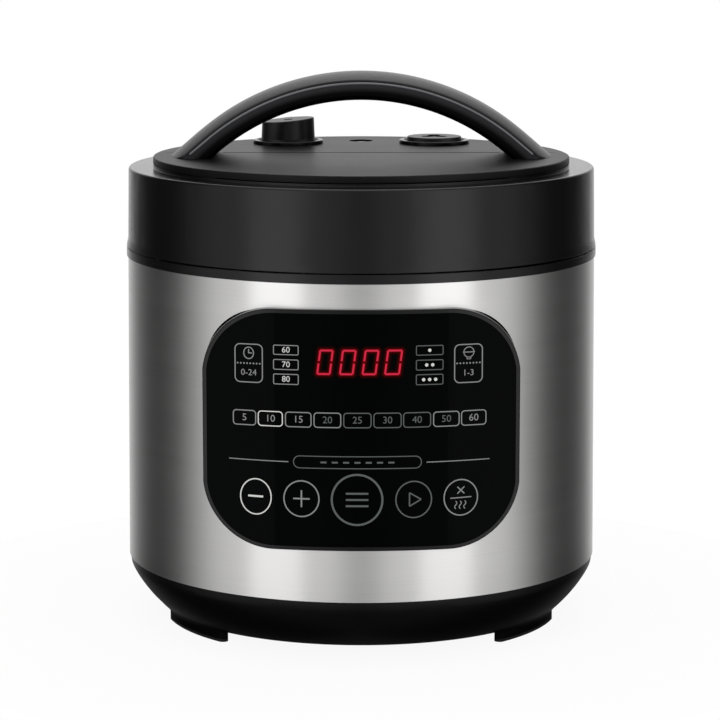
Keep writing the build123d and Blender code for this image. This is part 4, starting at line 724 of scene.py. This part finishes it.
sideBoxes = {"left": (-71.8, -55.6), "right": (52.4, 68.8), "low": 163.6, "high": 186.0,
             "corner": 3.2, "line": 0.6, "dots": 8, "dotGap": {"left": 1.8, "right": 1.85}, "dotSize": 0.48,
             "dotHeight": {"left": 174.7, "right": 175.0},
             "number": {"left": "0-24", "right": "1-3"}, "numberHeight": 169.4, "numberSize": 3.6}
for side in ("left", "right"):
    x0, x1 = sideBoxes[side]
    middle = (x0 + x1) / 2
    addFrame(flats["markPlain"], middle, (sideBoxes["low"] + sideBoxes["high"]) / 2, x1 - x0,
             sideBoxes["high"] - sideBoxes["low"], sideBoxes["corner"], sideBoxes["line"])
    for dot in range(sideBoxes["dots"]):
        addDisc(flats["markPlain"], middle + (dot - (sideBoxes["dots"] - 1) / 2) * sideBoxes["dotGap"][side],
                sideBoxes["dotHeight"][side], sideBoxes["dotSize"], 12)
for side, text in sideBoxes["number"].items():
    addNumber(flats["markPlain"], text, sum(sideBoxes[side]) / 2, sideBoxes["numberHeight"],
              sideBoxes["numberSize"])

clock = {"x": -63.7, "z": 180.65, "radius": 3.57, "slim": 0.86, "line": 0.55,
         "hands": (2.2, 2.0), "tail": 0.2}
addRing(flats["markPlain"], clock["x"], clock["z"], clock["radius"], clock["line"], clock["slim"])
addStroke(flats["markPlain"], (clock["x"], clock["z"] + clock["hands"][0]),
          (clock["x"], clock["z"] - clock["tail"]), clock["line"])
addStroke(flats["markPlain"], (clock["x"] - clock["tail"], clock["z"]),
          (clock["x"] + clock["hands"][1], clock["z"]), clock["line"])

# a covered bowl on its foot; its arcs are given by angles in degrees and a number of steps
bowl = {"x": 60.8, "rim": 181.3, "halfWidth": 3.4, "radius": 2.9, "line": 0.5,
        "arcs": [(0, 180, 12), (190, 250, 6), (290, 350, 6)],
        "foot": {"height": 177.9, "size": (2.6, 1.5), "corner": 0.4, "line": 0.42}}
addStroke(flats["markPlain"], (bowl["x"] - bowl["halfWidth"], bowl["rim"]),
          (bowl["x"] + bowl["halfWidth"], bowl["rim"]), bowl["line"])
for start, end, steps in bowl["arcs"]:
    addArc(flats["markPlain"], bowl["x"], bowl["rim"], bowl["radius"], start, end, bowl["line"], steps)
addFrame(flats["markPlain"], bowl["x"], bowl["foot"]["height"], *bowl["foot"]["size"], bowl["foot"]["corner"],
         bowl["foot"]["line"])

levels = {"left": (-49.8, -35.3), "right": (30.75, 46.35),
          "rows": [(180.2, 186.0), (171.7, 177.8), (163.3, 169.5)], "corner": 1.0, "line": 0.5,
          "numbers": ["60", "70", "80"], "numberSize": 3.4, "dotGap": 3.4, "dotSize": 0.95}
for side in ("left", "right"):
    x0, x1 = levels[side]
    middle = (x0 + x1) / 2
    for count, (low, high) in enumerate(levels["rows"], 1):
        z = (low + high) / 2
        addFrame(flats["markPlain" if side == "left" else "markDim"], middle, z, x1 - x0, high - low,
                 levels["corner"], levels["line"])
        if side == "left":
            addNumber(flats["markBright"], levels["numbers"][count - 1], middle, z, levels["numberSize"])
        for mark in range(count if side == "right" else 0):
            addDisc(flats["markBright"], middle + (mark - (count - 1) / 2) * levels["dotGap"], z,
                    levels["dotSize"], 24)

pill = {"x": -2.2, "z": 119.15, "width": 73.0, "height": 7.4, "corner": 3.6, "line": 0.5,
        "dashes": 7, "dashGap": 6.4, "dashHalf": 1.7, "dashLine": 1.0,
        "lines": [((-75.3, 119.3), (-41.3, 119.0)), ((37.0, 118.9), (73.0, 119.1))]}
addFrame(flats["markDim"], pill["x"], pill["z"], pill["width"], pill["height"], pill["corner"], pill["line"])
for dash in range(pill["dashes"]):
    x = pill["x"] + (dash - (pill["dashes"] - 1) / 2) * pill["dashGap"]
    addStroke(flats["markDim"], (x - pill["dashHalf"], pill["z"]), (x + pill["dashHalf"], pill["z"]),
              pill["dashLine"])
for start, end in pill["lines"]:
    addStroke(flats["markPlain"], start, end, pill["line"])

# each key's ring, and the strokes of its sign from the ring's middle: start, end and line
keys = {
    "minus": {"x": -60.05, "z": 98.0, "radius": 10.6, "slim": 0.86, "tone": "markBright", "line": 0.68,
              "strokes": [((-4.4, 0.3), (4.2, 0.1), 1.1)]},
    "plus": {"x": -34.0, "z": 97.85, "radius": 10.7, "slim": 0.965, "tone": "markPlain", "line": 0.72,
             "strokes": [((-4.7, 0.0), (4.7, 0.0), 0.85), ((0.0, -4.9), (0.0, 4.9), 0.85)]},
    "menu": {"x": -2.4, "z": 97.65, "radius": 15.1, "slim": 0.99, "tone": "markDim", "line": 1.15,
             "strokes": [((-6.4, height), (6.4, height), 1.1) for height in (-3.6, 0.0, 3.6)]},
    "start": {"x": 29.75, "z": 97.55, "radius": 10.85, "slim": 0.965, "tone": "markDim", "line": 0.7,
              "strokes": [((-2.4, -3.9), (-2.4, 3.9), 0.75), ((-2.4, 3.9), (4.2, 0.0), 0.75),
                          ((4.2, 0.0), (-2.4, -3.9), 0.75)]},
    "cancel": {"x": 56.65, "z": 97.65, "radius": 10.68, "slim": 0.93, "tone": "markPlain", "line": 0.68,
               "strokes": [((-6.0, -0.3), (6.0, 0.1), 0.6), ((-2.0, 2.2), (2.0, 6.2), 0.65),
                           ((-2.0, 6.2), (2.0, 2.2), 0.65)]},
}
# three wavy bars below the last key's line: each bend's place and angles in degrees
steam = {"places": (-2.6, 0.0, 2.6), "radius": 1.3, "line": 0.55, "steps": 5,
         "bends": [(-1.0, -3.2, -60, 60), (0.4, -5.4, 120, 240)]}
for key in keys.values():
    addRing(flats[key["tone"]], key["x"], key["z"], key["radius"], key["line"], key["slim"])
for key in keys.values():
    for start, end, line in key["strokes"]:
        addStroke(flats[key["tone"]], (key["x"] + start[0], key["z"] + start[1]),
                  (key["x"] + end[0], key["z"] + end[1]), line)
cancel = keys["cancel"]
for place in steam["places"]:
    for x, z, start, end in steam["bends"]:
        addArc(flats[cancel["tone"]], cancel["x"] + place + x, cancel["z"] + z, steam["radius"], start, end,
               steam["line"], steam["steps"])
for tone, shape in flats.items():
    layOnGlass(shape, tone + "Print", tone)

# the display's four figures, and the red light round their bars: its width, finish and thickness
digit = {"places": [(-25.45, -15.45), (-12.65, -2.55), (0.1, 10.3), (12.75, 23.55)],
         "low": 169.4, "high": 183.9, "line": 1.05, "slant": 0.13, "gap": 0.7, "cornerGap": 0.1,
         "glow": [(5.2, "glowFaint", 0.02), (3.6, "glowDim", 0.03), (2.2, "glowNear", 0.04)]}


def addDigits(line, gap, cornerGap):
    # every bar of the display's figures, each figure leaning a little to the right
    shape = bmesh.new()
    for left, right in digit["places"]:
        middle = (left + right) / 2
        half = (right - left) / 2 - digit["line"] / 2 - digit["slant"] * (digit["high"] - digit["low"]) / 2
        low, high = digit["low"] + digit["line"] / 2, digit["high"] - digit["line"] / 2
        centre = (low + high) / 2
        bars = [((-half + cornerGap, edge), (half - cornerGap, edge)) for edge in (low, high)]
        for x in (-half, half):
            bars += [((x, low + cornerGap), (x, centre - gap)), ((x, centre + gap), (x, high - cornerGap))]
        for bar in bars:
            addStroke(shape, *[(middle + x + digit["slant"] * (z - centre), z) for x, z in bar], line)
    return shape


for line, finish, thick in digit["glow"]:
    layOnGlass(addDigits(line, 0.0, -line / 4), finish + "Print", finish, thick)
layOnGlass(addDigits(digit["line"], digit["gap"], digit["cornerGap"]), "displayDigits", "digitRed")
print("glass marked")


# floor, surroundings and lamps
studio = {
    "floorReach": 0.30, "floorTone": 0.96, "floorLift": 0.92, "roomLight": 0.8,
    "overhead": (0.6, 0.9, 0.9),  # from and to these heights of a direction, and brightness
    "shade": (0.13, 0.26, 0.12),  # floor that polished faces see: two radii, and the share left at the first
    # what polished faces see around them: share of a half turn from the front, brightness
    "around": [(0.0, 0.50), (0.035, 0.58), (0.07, 0.86), (0.11, 0.90), (0.22, 0.78), (0.34, 0.88),
               (0.42, 0.78), (0.49, 0.41), (0.56, 0.11), (0.64, 0.04), (0.72, 0.06), (0.80, 0.20),
               (0.88, 0.6), (0.96, 1.0)],
}
sideLamps = {
    "leftBox": {"angle": -40, "reach": 1.7, "height": 0.35, "aim": (0, 0, 0.16),
                "size": (0.8, 1.6), "power": 3.8},
    "rightBox": {"angle": 40, "reach": 1.7, "height": 0.35, "aim": (0, 0, 0.16),
                 "size": (0.8, 1.6), "power": 3.9},
}
topLamp = {"place": (0, 0.1, 1.9), "aim": (0, 0, 0.2), "size": (1.4, 1.4), "power": 5.0}


def aroundPattern(sheet, right, back, settings):
    # brightness towards a compass direction, alike left and right
    turn = sheet.add("ShaderNodeMath", {"operation": "ARCTAN2"},
                     {0: (right * right) ** 0.5, 1: -1.0 * back}) / math.pi
    peak = max(level for place, level in settings["around"])
    stops = [(place, (level / peak,) * 3 + (1,)) for place, level in settings["around"]]
    return sheet.add("ShaderNodeValToRGB", {"stops": stops}, {0: turn}) * peak


def makeFloor(settings):
    shape = bmesh.new()
    bmesh.ops.create_circle(shape, cap_ends=True, segments=96, radius=settings["floorReach"])
    mesh = bpy.data.meshes.new("floor")
    shape.to_mesh(mesh)
    shape.free()
    floor = bpy.data.objects.new("floor", mesh)
    scene.collection.objects.link(floor)
    material = bpy.data.materials.new("paleFloor")
    material.use_nodes = True
    sheet = Sheet(material.node_tree)
    tone = (settings["floorTone"],) * 3
    where = sheet.place()
    cloud = sheet.noise(where, 1.2, 2.0)
    right, back = sheet.split("ShaderNodeSeparateXYZ", (0, 1), None, {0: where})
    near, far, share = settings["shade"]
    shade = share + ((right * right + back * back) ** 0.5).above(near, far) * (1 - share)
    veil = sheet.add("ShaderNodeBsdfTransparent", None, {"Color": sheet.tint(shade, (0, 0, 0), (1, 1, 1))})
    matte = sheet.add("ShaderNodeBsdfDiffuse", None,
                      {"Color": sheet.tint(cloud, [value * 0.985 for value in tone], tone)})
    seen, glossy, through = sheet.split("ShaderNodeLightPath",
                                        ("Is Camera Ray", "Is Glossy Ray", "Is Transmission Ray"))
    glow = sheet.add("ShaderNodeEmission", None, {"Color": (1, 1, 1, 1), "Strength": 1.0})
    lift = (seen + through) * settings["floorLift"]
    lit = sheet.add("ShaderNodeMixShader", None, {0: lift, 1: matte, 2: glow})
    surface = sheet.add("ShaderNodeMixShader", None, {0: glossy, 1: lit, 2: veil})
    sheet.finish("ShaderNodeOutputMaterial", surface)
    mesh.materials.append(material)


def makeWorld(settings):
    world = bpy.data.worlds.new("paleRoom")
    scene.world = world
    world.use_nodes = True
    sheet = Sheet(world.node_tree)
    where = sheet.add("ShaderNodeTexCoord", output="Generated")
    right, back, up = sheet.split("ShaderNodeSeparateXYZ", (0, 1, 2), None, {0: where})
    low, high, level = settings["overhead"]
    top = up.above(low, high)
    mirror = aroundPattern(sheet, right, back, settings) * (1.0 - top) + top * level
    seen, glossy, through = sheet.split("ShaderNodeLightPath",
                                        ("Is Camera Ray", "Is Glossy Ray", "Is Transmission Ray"))
    direct = seen + through
    strength = direct + glossy * mirror + (1.0 - direct) * (1.0 - glossy) * settings["roomLight"]
    glow = sheet.add("ShaderNodeBackground", None, {"Color": (1, 1, 1, 1), "Strength": strength})
    sheet.finish("ShaderNodeOutputWorld", glow)


def makeLamp(name, place, aim, size, power):
    data = bpy.data.lights.new(name, "AREA")
    data.shape, data.size, data.size_y, data.energy = "RECTANGLE", size[0], size[1], power
    lamp = bpy.data.objects.new(name, data)
    lamp.location = place
    lamp.rotation_euler = (Vector(aim) - Vector(place)).to_track_quat("-Z", "Y").to_euler()
    lamp.visible_camera = False
    scene.collection.objects.link(lamp)


for name, lamp in sideLamps.items():
    turn = math.radians(lamp["angle"])
    spot = (lamp["reach"] * math.sin(turn), -lamp["reach"] * math.cos(turn), lamp["height"])
    makeLamp(name, spot, lamp["aim"], lamp["size"], lamp["power"])
makeLamp("topBox", topLamp["place"], topLamp["aim"], topLamp["size"], topLamp["power"])
makeFloor(studio)
makeWorld(studio)
scene.view_settings.view_transform = "Standard"
print("studio ready")
